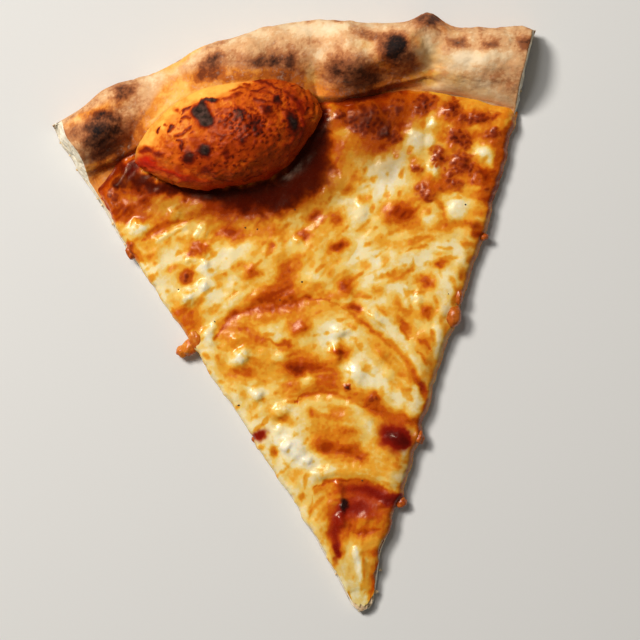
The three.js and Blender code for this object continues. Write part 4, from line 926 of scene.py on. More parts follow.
    (372, 120, 18, 11, 0, 0.92, 0.7), (389, 131, 9, 9, 0, 0.95, 0.8), (432, 98, 20, 4, 5, 0.40, 0.75), (470, 105, 22, 4, 11, 0.36, 0.8),
    (497, 115, 9, 4, 12, 0.42, 0.75), (350, 153, 10, 6, 0, 0.28, 0.7),
    (414.5, 139, 9, 14, 0, 0.04, 0.97), (429, 141, 6, 8, 0, 0.07, 0.92), (431, 123, 10, 7.5, 0, 0.12, 0.92), (449, 126.7, 5, 4, 0, 0.12, 0.8),
    (482, 151, 12, 7, -10, 0.05, 0.96), (490, 160, 9, 7, 0, 0.09, 0.92), (431, 168, 6, 10, 15, 0.06, 0.95), (440, 147, 6, 4, 0, 0.20, 0.6), (474.5, 128, 10, 3.2, 0, 0.26, 0.75),
    (458, 203, 17, 9, 0, 0.07, 0.92), (471, 188, 8, 4, 0, 0.20, 0.6), (400, 170, 12, 22, -30, 0.09, 0.85), (413, 159, 4.5, 6.5, 0, 0.48, 0.8), (416.7, 169, 7.5, 7, 0, 0.56, 0.8),
    (453, 146.5, 6, 5.6, 0, 0.40, 0.8), (423, 190, 9, 9.5, 0, 0.54, 0.85), (440, 130, 8, 5, 0, 0.36, 0.6), (466, 150, 8, 5, 30, 0.40, 0.5),
    (402, 172, 3, 7, 0, 0.30, 0.5), (343, 133, 12, 4.6, 0, 0.22, 0.8), (338, 147, 8, 6, 0, 0.52, 0.85), (357, 159, 8, 6, 0, 0.16, 0.6),
    (337, 161, 7, 8, 0, 0.34, 0.7), (323, 202, 8, 3, 0, 0.34, 0.6), (379, 185, 10, 6, 0, 0.07, 0.7), (385, 168, 12, 8, 30, 0.10, 0.7),
    (168, 204, 14, 9, 10, 0.30, 0.85), (186, 201, 16, 7, 0, 0.28, 0.8), (152, 212, 8, 6, 0, 0.40, 0.7), (176, 199, 10, 5, 0, 0.34, 0.6),
    (320, 106, 12, 8, 20, 0.36, 0.85), (332, 112, 5, 8, 0, 0.40, 0.8), (398, 96, 10, 6, 0, 0.66, 0.8)]
C_LINES = [  # (points, half width, tone, cover)
    ([(214, 340), (224, 325), (232, 316), (243, 310), (262, 306), (290, 303), (308, 298), (330, 300)], 4.2, 0.64, 0.85),
    ([(328, 300), (350, 312), (366, 326), (378, 334), (391, 343), (403, 357), (414, 374), (423, 387), (428, 398)], 2.8, 0.56, 0.8),
    ([(262, 338), (270, 340), (280, 345), (288, 345)], 1.7, 0.62, 0.8),
    ([(294, 402), (306, 396), (318, 393), (332, 394), (348, 400), (361, 405), (376, 409)], 2.0, 0.70, 0.85),
    ([(312, 488), (330, 481), (350, 480), (370, 483), (395, 493)], 2.2, 0.66, 0.8), ([(352, 533), (366, 532), (380, 529)], 1.8, 0.66, 0.8),
    ([(400, 326), (405, 333), (409, 341)], 2.2, 0.64, 0.85), ([(418, 338), (425, 344), (431, 350)], 1.6, 0.58, 0.8),
    ([(417, 351), (422, 358), (428, 366)], 1.3, 0.60, 0.85), ([(430, 326), (434, 338), (436, 348)], 1.5, 0.52, 0.7),
    ([(140, 243), (152, 233), (164, 225), (178, 222), (192, 219)], 2.2, 0.62, 0.8), ([(388, 272), (394, 277), (403, 276), (411, 268), (414, 258)], 2.8, 0.46, 0.85),
    ([(430, 196), (440, 203), (444, 212), (447, 222)], 2.4, 0.52, 0.75), ([(412, 236), (424, 238), (436, 236)], 1.5, 0.46, 0.75),
    ([(404, 252), (416, 247), (428, 245)], 1.6, 0.46, 0.75), ([(434, 246), (444, 247), (452, 250)], 1.3, 0.44, 0.7),
    ([(458, 242), (464, 246), (466, 250)], 1.3, 0.44, 0.6), ([(313, 498), (311, 508), (309, 518)], 1.4, 0.42, 0.6),
    ([(236, 300), (244, 291), (254, 285)], 1.4, 0.30, 0.5), ([(226, 306), (234, 297), (240, 288)], 1.4, 0.28, 0.5),
    ([(300, 262), (308, 250), (314, 244)], 1.8, 0.40, 0.6), ([(318, 280), (326, 268), (334, 262)], 1.5, 0.36, 0.5),
    ([(368, 252), (378, 248), (390, 250)], 1.4, 0.34, 0.5), ([(344, 262), (352, 252), (358, 240)], 1.3, 0.28, 0.5),
    ([(364, 276), (374, 272), (382, 268)], 1.2, 0.30, 0.5), ([(410, 292), (418, 288), (430, 290)], 1.3, 0.34, 0.5),
    ([(448, 292), (446, 304), (440, 316)], 1.2, 0.34, 0.5), ([(330, 222), (340, 230), (352, 232)], 1.4, 0.34, 0.5),
    ([(352, 214), (350, 224), (356, 232)], 1.3, 0.30, 0.5), ([(256, 262), (266, 258), (276, 258)], 1.3, 0.32, 0.5),
    ([(206, 240), (204, 234), (208, 226)], 1.4, 0.36, 0.6), ([(196, 232), (194, 240), (190, 246)], 1.3, 0.40, 0.6),
    ([(384, 396), (392, 400), (398, 402)], 1.2, 0.34, 0.5), ([(262, 396), (266, 404), (272, 408)], 1.2, 0.34, 0.5),
    # The palest line down the point, at tone 0.03, is a painted highlight along the ridge there.
    ([(347, 556), (349, 568), (353, 582)], 2.0, 0.34, 0.6), ([(368, 558), (368, 574), (367, 592)], 2.2, 0.36, 0.7), ([(354, 547), (357, 560), (361, 582)], 2.2, 0.03, 0.9),
    ([(377, 560), (375, 580), (370, 602)], 3.0, 0.62, 0.85), ([(284, 462), (290, 468), (298, 468)], 1.4, 0.40, 0.6),
    ([(306, 478), (322, 471), (336, 468)], 4.0, 0.12, 0.8), ([(336, 468), (352, 468), (372, 471), (396, 481)], 5.0, 0.31, 0.7),
    ([(350, 472), (372, 475), (392, 483)], 1.6, 0.18, 0.6)]
C_RIMS = [  # toasted margins along the cuts
    ([(98, 182), (106, 198), (114, 214), (119, 222)], 5.5, 0.66, 0.85), ([(127, 240), (134, 254), (144, 262)], 4.0, 0.56, 0.7), ([(172, 308), (182, 321), (193, 336)], 5.0, 0.56, 0.75),
    ([(212, 346), (226, 368), (242, 392), (258, 416), (274, 442)], 3.0, 0.27, 0.45),
    ([(272, 440), (288, 468), (304, 494), (318, 520), (332, 550), (346, 580)], 2.6, 0.28, 0.45),
    ([(514, 112), (506, 140), (500, 166), (494, 192), (488, 216)], 7.0, 0.66, 0.85),
    ([(486, 220), (478, 244), (470, 268), (462, 292)], 4.6, 0.52, 0.75), ([(460, 296), (452, 322), (442, 346), (432, 372), (424, 396)], 4.0, 0.46, 0.7),
    ([(428, 392), (424, 420), (416, 446), (408, 472)], 5.0, 0.60, 0.8), ([(408, 470), (402, 496), (394, 520), (386, 546), (376, 576)], 4.4, 0.60, 0.8)]
SAUCE_SPOTS = [(395, 437, 17, 14, -30, 1.0), (403, 440, 8, 7, 0, 1.0), (424, 387, 8, 3.4, -60, 0.6), (260, 435.5, 10, 6.6, 35, 0.8),
               (377, 494, 16, 7, -18, 0.75), (391, 501, 9, 6, 0, 0.85), (399, 500, 4, 4, 0, 0.9), (354, 489, 22, 6, 0, 0.6), (336, 529, 7, 14, -8, 0.7),
               (337, 551, 4, 12, 0, 0.8), (342, 511, 11, 11, 0, 0.7), (360, 507, 15, 11, 0, 0.72), (374, 516, 9, 6, 0, 0.4), (131, 168, 9, 7, 0, 0.9),
               (128, 177, 10, 6, 30, 0.45), (317, 117, 10, 11, 0, 1.0), (312, 367, 6, 5, 0, 0.3)]
# Painted shadow over browned cheese and sauce: the large dabs lie where the blister casts its shadow to the lower
# right, the small ones in the shade at the left corner and under the rim.
SHADE_AND_STAIN = [(144, 184, 18, 8, -10, 0.8), (127, 168, 16, 8, 40, 0.8), (134, 177, 13, 8, 0, 0.75), (117, 183, 8, 7, 0, 0.5), (266, 194, 44, 15, 14, 1.0), (308, 162, 24, 28, 30, 1.0), (222, 194, 36, 9, 0, 1.0), (170, 188, 30, 7, -8, 0.9),
         (292, 188, 32, 16, 40, 1.0), (318, 138, 12, 16, 0, 1.0), (388, 132, 9, 12, 0, 0.70), (368, 120, 20, 12, 0, 0.58), (318, 112, 8, 10, 0, 0.8)]
# Painted shade: the cheese's colour is multiplied darker where the blister and the rim shade it, and along the right
# edge, which rolls away from the light.
PAINTED_SHADE = [(372, 154, 40, 15, 10, 0.75), (392, 166, 20, 12, 30, 0.45), (336, 186, 18, 12, 40, 0.6), (376, 116, 40, 22, 0, 1.0), (262, 210, 48, 13, 8, 0.8),
       (312, 196, 26, 18, 40, 0.7), (190, 208, 34, 10, -5, 0.6), (150, 200, 30, 14, 10, 0.4), (510, 128, 5, 28, -15, 0.6), (499, 180, 5, 32, -15, 0.6),
       (482, 232, 8, 12, -15, 0.8), (468, 270, 7, 26, -16, 0.7), (456, 310, 9, 14, -16, 0.9), (442, 344, 8, 20, -18, 0.5), (428, 376, 8, 20, -20, 0.6),
       (420, 425, 8, 26, -16, 0.7), (404, 470, 9, 26, -16, 0.7), (390, 520, 8, 24, -18, 0.6), (380, 556, 6, 20, -18, 0.7), (404, 452, 7, 10, 0, 0.6),
       (440, 100, 40, 7, -8, 0.3)]
# Crisp, bubbly clumps of toasted cheese, and single beads.
CLUMPS = [(423, 104, 9.2, 9.8, 0, 0.95), (420, 108, 5.8, 5.8, 0, 0.8), (426, 100, 5.8, 5.8, 0, 0.8), (435.5, 98, 3.7, 3.4, 0, 0.6), (452, 109, 9.2, 10.3, 0, 0.95),
          (464.5, 119, 5.5, 4.9, 0, 0.75), (480, 118, 11, 6.5, 5, 0.95), (472, 120, 4.6, 4, 0, 0.7), (495.5, 115.5, 5.3, 4.6, 0, 0.55),
          (492, 136, 9.8, 7.5, 0, 0.6), (495.5, 133, 5.2, 4.6, 0, 0.85), (458, 137, 11, 9.2, -20, 1.0), (466, 143, 4.6, 4.6, 0, 0.9),
          (439, 158, 6.9, 11, 20, 0.95), (462, 163.5, 11.5, 11, -10, 1.0), (469, 168, 5.8, 5.8, 0, 0.9), (416.7, 169, 5.8, 5.3, 0, 0.65),
          (449, 176.5, 5.8, 5.8, 0, 0.75), (455.5, 185.5, 8.1, 5.3, -15, 0.8), (441, 189, 5.3, 5, 0, 0.5), (423, 190, 8.1, 9.2, 0, 0.7),
          (429, 197, 5.8, 5, 0, 0.7), (488, 188, 5.8, 5.3, 0, 0.7), (478, 179, 4.6, 6.9, 0, 0.4), (502, 168, 4.6, 5.8, 0, 0.3),
          (341, 115.5, 6.9, 6.3, 0, 0.95), (350, 119, 5.8, 5, 0, 0.85), (361, 122, 8.6, 8.1, 0, 0.95), (368, 128, 9.2, 8.1, 0, 1.0), (363, 109, 9.2, 6.9, 0, 0.6),
          (372, 112, 8.1, 9.2, 0, 0.85), (381, 123, 6.9, 6.9, 0, 0.75), (386.5, 132, 8.6, 10.3, 0, 1.0), (395.5, 138, 5.8, 5.8, 0, 0.9), (397, 107, 7.5, 12.7, 0, 0.8),
          (376, 136, 6.9, 5.8, 0, 0.7), (355, 128, 5.8, 4.6, 0, 0.6), (119, 183, 8.6, 7.5, 20, 0.95), (114, 199, 5.2, 8.1, 15, 0.8), (110, 193, 4.6, 5.8, 0, 0.5),
          (125, 192, 5.8, 4.6, 0, 0.5), (187, 277.5, 6.1, 6.1, 0, 0.75), (198.5, 249, 7.7, 7.2, 0, 0.45), (373.5, 399.5, 5.9, 5.9, 0, 0.7),
          (348, 387.5, 3.5, 3.3, 0, 0.8), (131, 250, 3.7, 7.2, 0, 0.8)]
BEADS = [(452, 108, 7, 7.4, 0.9), (458, 136, 8.4, 7.4, 1.0), (462, 162, 8.6, 8, 1.0), (439, 157.5, 5.2, 8, 0.9), (368, 127, 7, 6.4, 0.9),
         (386.5, 132, 6, 7.6, 0.9), (363, 109, 6, 5, 0.6), (341, 115, 5.4, 5, 0.8), (350, 119, 4.4, 4, 0.7), (424, 101, 5.4, 5, 0.8),
         (420.5, 108, 5, 5, 0.7), (481, 118, 6.4, 4.6, 0.8), (495.5, 133, 4, 3.6, 0.7), (455.5, 185, 5.4, 4, 0.7), (119, 183, 6, 5.4, 0.8),
         (453, 146.5, 4.6, 4.4, 0.5), (187, 277, 5, 5, 0.4), (348, 387, 3, 2.8, 0.4), (373.5, 399, 5, 4.6, 0.5), (449, 176, 4, 4, 0.6),
         (464.5, 119, 4, 3.4, 0.5), (361, 121, 5.4, 5, 0.8), (395.5, 138, 4, 4, 0.6), (198.5, 249, 6.4, 6, 0.3), (466, 170, 4, 3.6, 0.6)]
BUMPS = [  # swellings that catch the light: centre, half sizes, turn, height
    (417, 142, 9, 14, -5, 0.8), (361, 211, 7, 11, 0, 0.8), (209, 337, 6, 10, 35, 1.1), (240, 358, 8, 12, -30, 1.6),
    (190, 300, 9, 6, 25, 0.7), (139, 227, 10, 8, 25, 1.2), (347, 290, 7, 9, 20, 0.7), (340, 332, 9, 6, 0, 1.2),
    (336, 353, 6, 12, 5, 1.3), (356, 374, 10, 11, 0, 1.1), (375, 319, 6, 10, 45, 0.7), (380, 355, 7, 7, 0, 0.5),
    (389, 373, 6, 10, 20, 0.6), (280, 412, 9, 7, 30, 1.1), (293, 449, 15, 8, -32, 1.4), (307, 462, 8, 6, 0, 0.6),
    (320, 475, 8, 5, 0, 0.5), (339, 489, 6, 9, 20, 1.2), (341, 520, 5, 8, 0, 1.0), (356, 553, 6, 7, 0, 0.6),
    (364, 572, 4.5, 18, 10, 0.8), (428, 193, 8, 8, 0, 0.6), (300, 330, 9, 7, 0, 0.5), (399, 440, 8, 7, 0, 0.5),
    (402, 213, 13, 9, 10, 0.4), (418, 300, 4, 9, 10, 0.5), (427, 313, 8, 7, 0, 0.4), (252, 272, 8, 7, 30, 0.4),
    (202, 252, 7, 7, 0, 0.5), (205, 267, 6, 9, 10, 0.6), (204, 287, 7, 6, 0, 0.5), (256, 393, 6, 5, 0, 0.7), (318, 443, 10, 8, 0, 0.4),
    (352, 445, 9, 8, 0, 0.4), (188, 297, 8, 5, 30, 0.9), (205, 263, 5, 5, 0, 0.8), (204, 285, 5, 5, 0, 0.8), (182, 296, 5, 5, 0, 0.7),
    (258, 396, 6, 6, 0, 0.8), (286, 446, 6, 4, 30, 0.8), (308, 460, 6, 4, 0, 0.8), (298, 240, 5, 5, 0, 0.6), (236, 340, 5, 4, 0, 0.5), (433, 172, 6, 9, 15, 0.7), (484, 155, 10, 7, 0, 0.7), (457, 210, 10, 10, 0, 0.6),
    (385, 165, 14, 9, 50, 0.4), (419, 437, 6, 8, 0, 0.6), (174, 215, 7, 8, 0, 0.8), (310, 383, 8, 7, 0, 0.5), (283, 356, 7, 5, 0, 0.5),
    (204, 232, 4, 7, -20, 0.5), (279, 430, 5, 4, 0, 0.5), (430, 143, 5, 7, 0, 0.5), (434, 125, 6, 6, 0, 0.4), (366, 518, 8, 5, 0, 0.5)]
CREASES = [  # path, depth, lobe below it, reach of the lobe
    ([(204, 344), (218, 330), (232, 317), (244, 310), (264, 306), (290, 303), (310, 298), (332, 301)], 0.75, 0.5, 70),
    ([(346, 309), (366, 326), (378, 334), (391, 343), (403, 357), (414, 374), (428, 398)], 0.9, 0.45, 30),
    ([(290, 403), (306, 396), (318, 393), (332, 394), (348, 400), (361, 405), (378, 410)], 0.6, 0.5, 44),
    ([(312, 488), (330, 481), (350, 480), (370, 483), (404, 497)], 0.7, -0.6, 22),
    ([(352, 533), (366, 532), (382, 528)], 0.5, 0.35, 16),
    ([(146, 240), (156, 232), (168, 226), (184, 222), (200, 218)], 0.5, -0.3, 12),
    ([(112, 190), (128, 202), (134, 222)], 0.5, 0.3, 12),
    ([(436, 224), (460, 226), (484, 232)], 0.4, 0.3, 12),
    ([(400, 326), (405, 333), (409, 341)], 0.35, 0.1, 7),
    ([(418, 338), (425, 344), (431, 350)], 0.3, 0.1, 7),
    ([(417, 351), (422, 358), (428, 366)], 0.3, 0.1, 7),
    ([(438, 306), (436, 320), (440, 336)], 0.3, 0.1, 7),
]
RIDGES = [  # folds and drawn-out strands: path, height, half width, how pale; the paleness along a crest is partly a painted highlight, and wholly one on the streak down the point
    ([(360, 308), (378, 318), (398, 338), (416, 360), (427, 378)], 0.5, 7, 0.6),
    ([(449, 303), (437, 318), (440, 336), (434, 366)], 0.5, 4.5, 0.8),
    ([(304, 482), (322, 473), (345, 470), (376, 473), (404, 486)], 0.5, 7, 0.12),
    ([(300, 404), (326, 399), (350, 404), (366, 418), (376, 442)], 0.3, 7, 0.7),
    ([(154, 243), (162, 237), (172, 232), (190, 224)], 0.5, 2.6, 0.8),
    ([(204, 338), (210, 331), (216, 323)], 0.5, 4, 0.9),
    ([(194, 240), (199, 231), (203, 225)], 0.4, 2.6, 0.7),
    ([(184, 263), (190, 260), (197, 261)], 0.35, 2.2, 0.8),
    ([(352, 546), (357, 560), (362, 584)], 0.8, 3.0, 1.0),
    ([(360, 366), (376, 384), (398, 396), (416, 404)], 0.2, 8, 0.3),
    ([(228, 306), (240, 296), (254, 290)], 0.2, 4, 0.5),
    ([(236, 312), (248, 302), (262, 290)], 0.2, 4, 0.4),
]


def cheese_end(s):
    deg = np.degrees(s * HALF)
    return rim_in(deg) + 3.0 - 3.4 * smooth(6.0, 11.0, deg) - 7.0 * smooth(-19.0, -24.4, deg) + 0.5 * fbm(deg / 3.0, 1.7, 2.0, 3)


def layer_on_dough(rows, columns, first, last, left, right):
    """Rows of plan points for a layer; returns vertices with z the top of the dough, faces, edge ring and s of each."""
    verts, faces, ids, params, ss = [], [], [], [], []
    for i in range(rows):
        s = np.linspace(-1, 1, columns(i / (rows - 1.0)))
        r = mix(first(s), last(s), i / (rows - 1.0))
        x, y = place(s, r, left(r), right(r))
        deg = np.degrees(s * HALF)
        z = dough_top((r - rim_in(deg)) / (rim_out(deg) - rim_in(deg)), deg)
        start = len(verts)
        verts.extend(np.stack([x, y, z], 1).tolist())
        ss.extend(s.tolist())
        ids.append(list(range(start, start + len(s))))
        params.append(s)
    for i in range(rows - 1):
        stitch(ids[i], params[i], ids[i + 1], params[i + 1], faces)
    ring = [r[0] for r in ids[::-1]][:-1] + ids[0][:-1] + [r[-1] for r in ids][:-1] + ids[-1][::-1][:-1]
    return verts, faces, ids, ring, np.array(ss)


def orient(faces, verts, probe_up):
    v = np.array(verts)
    f = faces[len(faces) // 3][:3]
    if np.cross(v[f[1]] - v[f[0]], v[f[2]] - v[f[0]])[2] * probe_up < 0:
        return [g[::-1] for g in faces]
    return faces


def cheese_mesh():
    rows = int(392 / FINE)

    def columns(t):
        # wide rows have more columns; the count changes only now and then
        r = mix(TIP_R + 3.0, 196.0, t)
        want = 2 * r * math.tan(HALF) / 0.5
        return max(int(44 / FINE), int(math.ceil(want / 60.0) * 60 / FINE))

    # On the left the cut dough shows past the cheese; on the right the cheese sags over it.
    left = lambda r: 0.05 + 0.40 * fbm(r / 5.0, 3.3, 1.0, 3) + 0.9 * bell(r, 20, 20) + 1.9 * smooth(150, 192, r)
    right = lambda r: -0.25 + 0.55 * fbm(r / 6.0, 8.3, 1.0, 3) + 1.3 * bell(r, 12, 24)
    verts, faces, ids, ring, ss = layer_on_dough(rows, columns, lambda s: TIP_R + 1.9 + 0.9 * fbm(2.6 * s, 2.2, 5.0, 3) + 0.9 * smooth(0.1, 0.9, s), cheese_end, left, right)
    v = np.array(verts)
    x, y, base = v.T
    px, py = seen(x, y, base + 4)
    r = np.hypot(x, y)

    way = grain_way(px, py)
    flow = strands(px, py, way, 15.0, 7.5, 1.0)
    flow2 = strands(px, py, way, 9.0, 3.8, 5.0)
    low = fbm(px / 34, py / 34, 3.0, 2)
    mid = fbm(px / 13, py / 13, 6.0, 2)
    speck = fbm(px / 4.4, py / 4.4, 45.0, 2)
    wx, wy = wander(px, py, 2.0)
    qx, qy = px + wx, py + wy
    sauce = union(qx, qy, SAUCE_SPOTS, 2.6)
    shade_and_stain = union(px + 2.0 * wx, py + 2.0 * wy, SHADE_AND_STAIN, 2.2)
    painted_shade = union(px + 2.0 * wx, py + 2.0 * wy, PAINTED_SHADE, 2.0)
    clump = union(qx, qy, CLUMPS, 2.6)
    ux, uy = px + 1.4 * perlin(px / 5, py / 5, 1.0), py + 1.4 * perlin(px / 5, py / 5, 2.0)
    c1, c2 = cells(ux / 5.2, uy / 5.2, 21)
    knob = np.maximum(0, 1 - (c1 / 0.7) ** 2)
    dome = clump * (0.22 + 0.42 * knob)
    bead = clump * (0.50 + 0.46 * smooth(0.62, 0.2, c1))
    for k, (bx, by, rx, ry, high) in enumerate(BEADS):
        at, g = dab(qx, qy, bx, by, rx, ry, 0.0, 3.0)
        dome[at] = np.maximum(dome[at], high * g * (0.72 + 0.28 * knob[at]))
    calm = union(qx, qy, [(368, 120, 42, 26, 0, 1.0), (122, 186, 26, 22, 0, 1.0)], 3.0)
    dome *= 1 - 0.6 * calm
    corner = union(qx, qy, [(128, 171, 19, 10, 25, 1.0), (141, 180, 15, 9, 0, 0.9), (116, 184, 12, 10, 0, 0.9)], 2.6)
    swell = np.zeros(px.shape)
    for bx, by, rx, ry, turn, high in BUMPS:
        at, g = dab(px + 0.6 * wx, py + 0.6 * wy, bx, by, 0.85 * rx, 0.85 * ry, turn, 2.6)
        swell[at] = swell[at] + high * g

    fold = np.zeros(px.shape)
    for path, deep, lobe, reach in CREASES:
        d, t, ends = near_line(px, py, path)
        d = d + 1.0 * fbm(px / 12, py / 12, 7.0 + deep, 2)
        along = smooth(0, 0.14, t) * smooth(1, 0.86, t) * (1 - ends)
        fold += along * (-0.42 * deep * bell(d, 0.0, 4.4) + 0.16 * deep * smooth(2, 10, d) * (1 - smooth(10, 24, d)))
        fold += along * lobe * smooth(-2.0, 22, -d) * (1 - smooth(0.4 * reach, reach, -d))
    ridge_pale_and_highlight = np.zeros(px.shape)
    for path, high, wide, fair in RIDGES:
        d, t, ends = near_line(px, py, path)
        d = d + 0.9 * fbm(px / 9, py / 9, 17.0 + high, 2)
        along = smooth(0, 0.2, t) * smooth(1, 0.8, t) * (1 - ends)
        hump = along * np.exp(-0.8 * (np.abs(d) / (0.8 * wide)) ** 2.6)
        fold += 0.7 * high * hump
        ridge_pale_and_highlight = np.maximum(ridge_pale_and_highlight, fair * hump)

    # tone, as painted: soft dabs and lines over a creamy ground with faint golden strands
    tone = np.full(px.shape, 0.135)
    tone = paint(tone, qx, qy, C_BROAD, 2.0)
    tone = paint(tone, qx, qy, C_DABS, 2.2)
    tone = draw(tone, qx + 1.5 * mid, qy + 2.0 * wx, C_RIMS)
    tone = draw(tone, qx, qy, C_LINES)
    wet = smooth(0.16, 0.42, tone)
    tone = tone + 0.19 * smooth(0.40, 1.30, flow + 0.7 * mid + 0.25 * speck) * (1 - wet)
    tone = tone + 0.035 * flow * (0.5 + wet) + (0.010 + 0.030 * wet) * (flow2 + speck) + 0.02 * low
    # ridges lightened: pale cheese, and partly a painted highlight along the crests
    tone = tone + (0.07 - tone) * 0.75 * ridge_pale_and_highlight
    soft_tone = tone.copy()
    end_gap = cheese_end(ss) - r
    # Against the rim the cheese's end is darker, most to the left of 395 across: toasted cheese, and partly painted
    # shade under the rim's overhang.
    lip_tone = mix(0.80, 0.35, smooth(395, 430, px)) + 0.08 * mid
    tone = mix(tone, np.maximum(lip_tone, 0.24), smooth(3.6, 0.6, end_gap + 0.7 * mid))
    # painted shadow and browned cheese: darker towards near black red brown
    tone = tone + (0.88 - tone) * shade_and_stain * 0.9
    tone = np.clip(tone, 0, 1)
    black = union(qx, qy, [(344, 504, 4.6, 8.6, 4, 1.0), (348, 387.5, 2.4, 2.2, 0, 0.8), (187, 277.5, 3, 3, 0, 0.35), (374, 399, 3.2, 2.8, 0, 0.4),
                           (402, 440, 6, 4, -40, 0.35), (369, 129, 5, 4, 0, 0.4), (386.5, 134, 4.6, 6, 0, 0.5), (464, 165, 5, 5, 0, 0.4),
                           (459, 139, 5, 5, 0, 0.3), (119, 184, 4.6, 4.6, 0, 0.65), (130.5, 251, 2.6, 5, 0, 0.5), (379, 495, 4, 3, 0, 0.3),
                           (334, 538, 4, 5, 0, 0.25)], 2.8)

    thick = 2.35 * mix(0.80, 1.0, smooth(7, 34, r))
    relief = 0.30 * (0.42 - np.minimum(soft_tone, 0.7)) + 0.04 * flow + 0.010 * flow2 + 0.38 * low + 0.14 * fbm(px / 22, py / 22, 26.0, 2)
    relief += 0.07 * fbm(px / 9.0, py / 9.0, 27.0, 2) + 0.006 * fbm(px / 2.4, py / 2.4, 28.0, 2) + 1.1 * swell
    relief += 0.035 * fbm(px / 6.0, py / 6.0, 29.0, 2)
    relief = mix(relief, 0.4 * low, 0.75 * np.maximum(smooth(0.2, 0.8, shade_and_stain) * (px > 170), 0.8 * corner))
    top = thick + relief + fold * (1 - 0.7 * shade_and_stain) + dome + 0.4 * smooth(0.3, 0.9, black)
    top -= 0.35 * sauce * (1 - black) * (1 - clump)
    # edges: rolled over at the cuts, thinning out against the rim
    half = r * math.tan(HALF)
    e_left, e_right = (1 + ss) * half, (1 - ss) * half
    e = np.minimum(e_left, e_right)
    e = np.minimum(e, 0.45 * (r - TIP_R - 1.6))
    lip = 0.35 + 0.65 * np.sqrt(np.clip(1 - (1 - np.clip(e / 2.4, 0, 1)) ** 2, 0, 1))
    sag = (1.3 * (1 - smooth(0, 2.2, e_right)) + 0.9 * (1 - smooth(0, 6.0, e_right))) * smooth(20, 60, r) + 0.5 * (1 - smooth(0, 1.6, e_left)) * smooth(30, 60, r)
    hem = np.clip(1 - smooth(0.2, 2.6, e_right + 0.5 * mid), 0, 1) * smooth(30, 70, r)
    tone = np.maximum(tone, (0.44 + 0.14 * mid + 0.05 * speck) * hem)
    hem = np.clip(1 - smooth(0.0, 1.8, e_left + 0.5 * mid), 0, 1) * smooth(30, 70, r)
    tone = np.clip(np.maximum(tone, (0.22 + 0.16 * mid + 0.05 * speck) * hem), 0, 1)
    deg = np.degrees(ss * HALF)
    end = cheese_end(ss)
    thin = mix(0.05, 1.0, smooth(-0.8, 6.5, end - r + 0.8 * mid))
    level = base + mix(0.25, 2 * GAP + SAUCE_T, smooth(9, 24, r))
    top = np.maximum(0.25, top) * lip * thin * mix(0.62, 1.0, smooth(7.5, 26, r))
    v[:, 2] = level + top - sag - 1.2 * (1 - smooth(0, 4.5, end - r))
    verts = v.tolist()
    n_top = len(verts)
    low_z = lambda edge: np.maximum(4.3, edge[:, 2] - 1.0)
    last = ring_down(verts, faces, ring, [
        (-0.10, lambda e: e[:, 2] - 0.30 * np.minimum(1.0, np.maximum(0.2, e[:, 2] - 4.4))),
        (0.02, lambda e: mix(e[:, 2], np.minimum(e[:, 2] - 0.1, 4.55), 0.62)),
        (0.45, lambda e: np.minimum(e[:, 2] - 0.15, 4.45 + 0.0 * e[:, 2])),
    ])
    faces.append(tuple(last[::-1]))
    extra = len(verts) - n_top
    k = extra // 3
    src = np.array(ring * 3)
    pick = lambda a: np.concatenate([a, a[src]])
    layers = {"oil": pick(tone), "sauce": pick(np.clip(sauce, 0, 1)), "bead": pick(bead),
              "black": pick(black), "shade_and_stain": pick(shade_and_stain), "painted_shade": pick(painted_shade)}
    return np.array(verts), faces, layers


def sauce_mesh():
    rows = int(190 / FINE)

    def columns(t):
        return int(70 / FINE)

    left = lambda r: 1.75 + 0.45 * fbm(r / 4.0, 4.3, 1.0, 3) + 2.4 * smooth(40, 8, r)
    right = lambda r: 1.1 + 0.45 * fbm(r / 4.0, 9.3, 1.0, 3) + 2.4 * smooth(40, 8, r)
    last = lambda s: cheese_end(s) - 3.6
    verts, faces, ids, ring, ss = layer_on_dough(rows, columns, lambda s: TIP_R + 17.0 + 0.0 * s, last, left, right)
    v = np.array(verts)
    x, y, base = v.T
    top = GAP + 0.75 + 0.22 * fbm(x / 5, y / 5, 2.0, 3) + 0.1 * fbm(x / 1.6, y / 1.6, 3.0, 2)
    end = last(ss)
    r = np.hypot(x, y)
    top = top * mix(0.25, 1, smooth(0, 2.5, end - r)) * mix(0.3, 1, smooth(TIP_R + 17.0, TIP_R + 24.0, r))
    v[:, 2] = base + top
    verts = v.tolist()
    n_top = len(verts)
    last_ring = ring_down(verts, faces, ring, [(-0.12, lambda e: e[:, 2] - 0.35), (0.25, lambda e: e[:, 2] - 0.85)])
    faces.append(tuple(last_ring[::-1]))
    src = np.array(ring * 2)
    wet = np.clip(0.5 + 0.4 * fbm(x / 3, y / 3, 5.0, 3), 0, 1)
    return np.array(verts), faces, {"wet": np.concatenate([wet, wet[src]])}


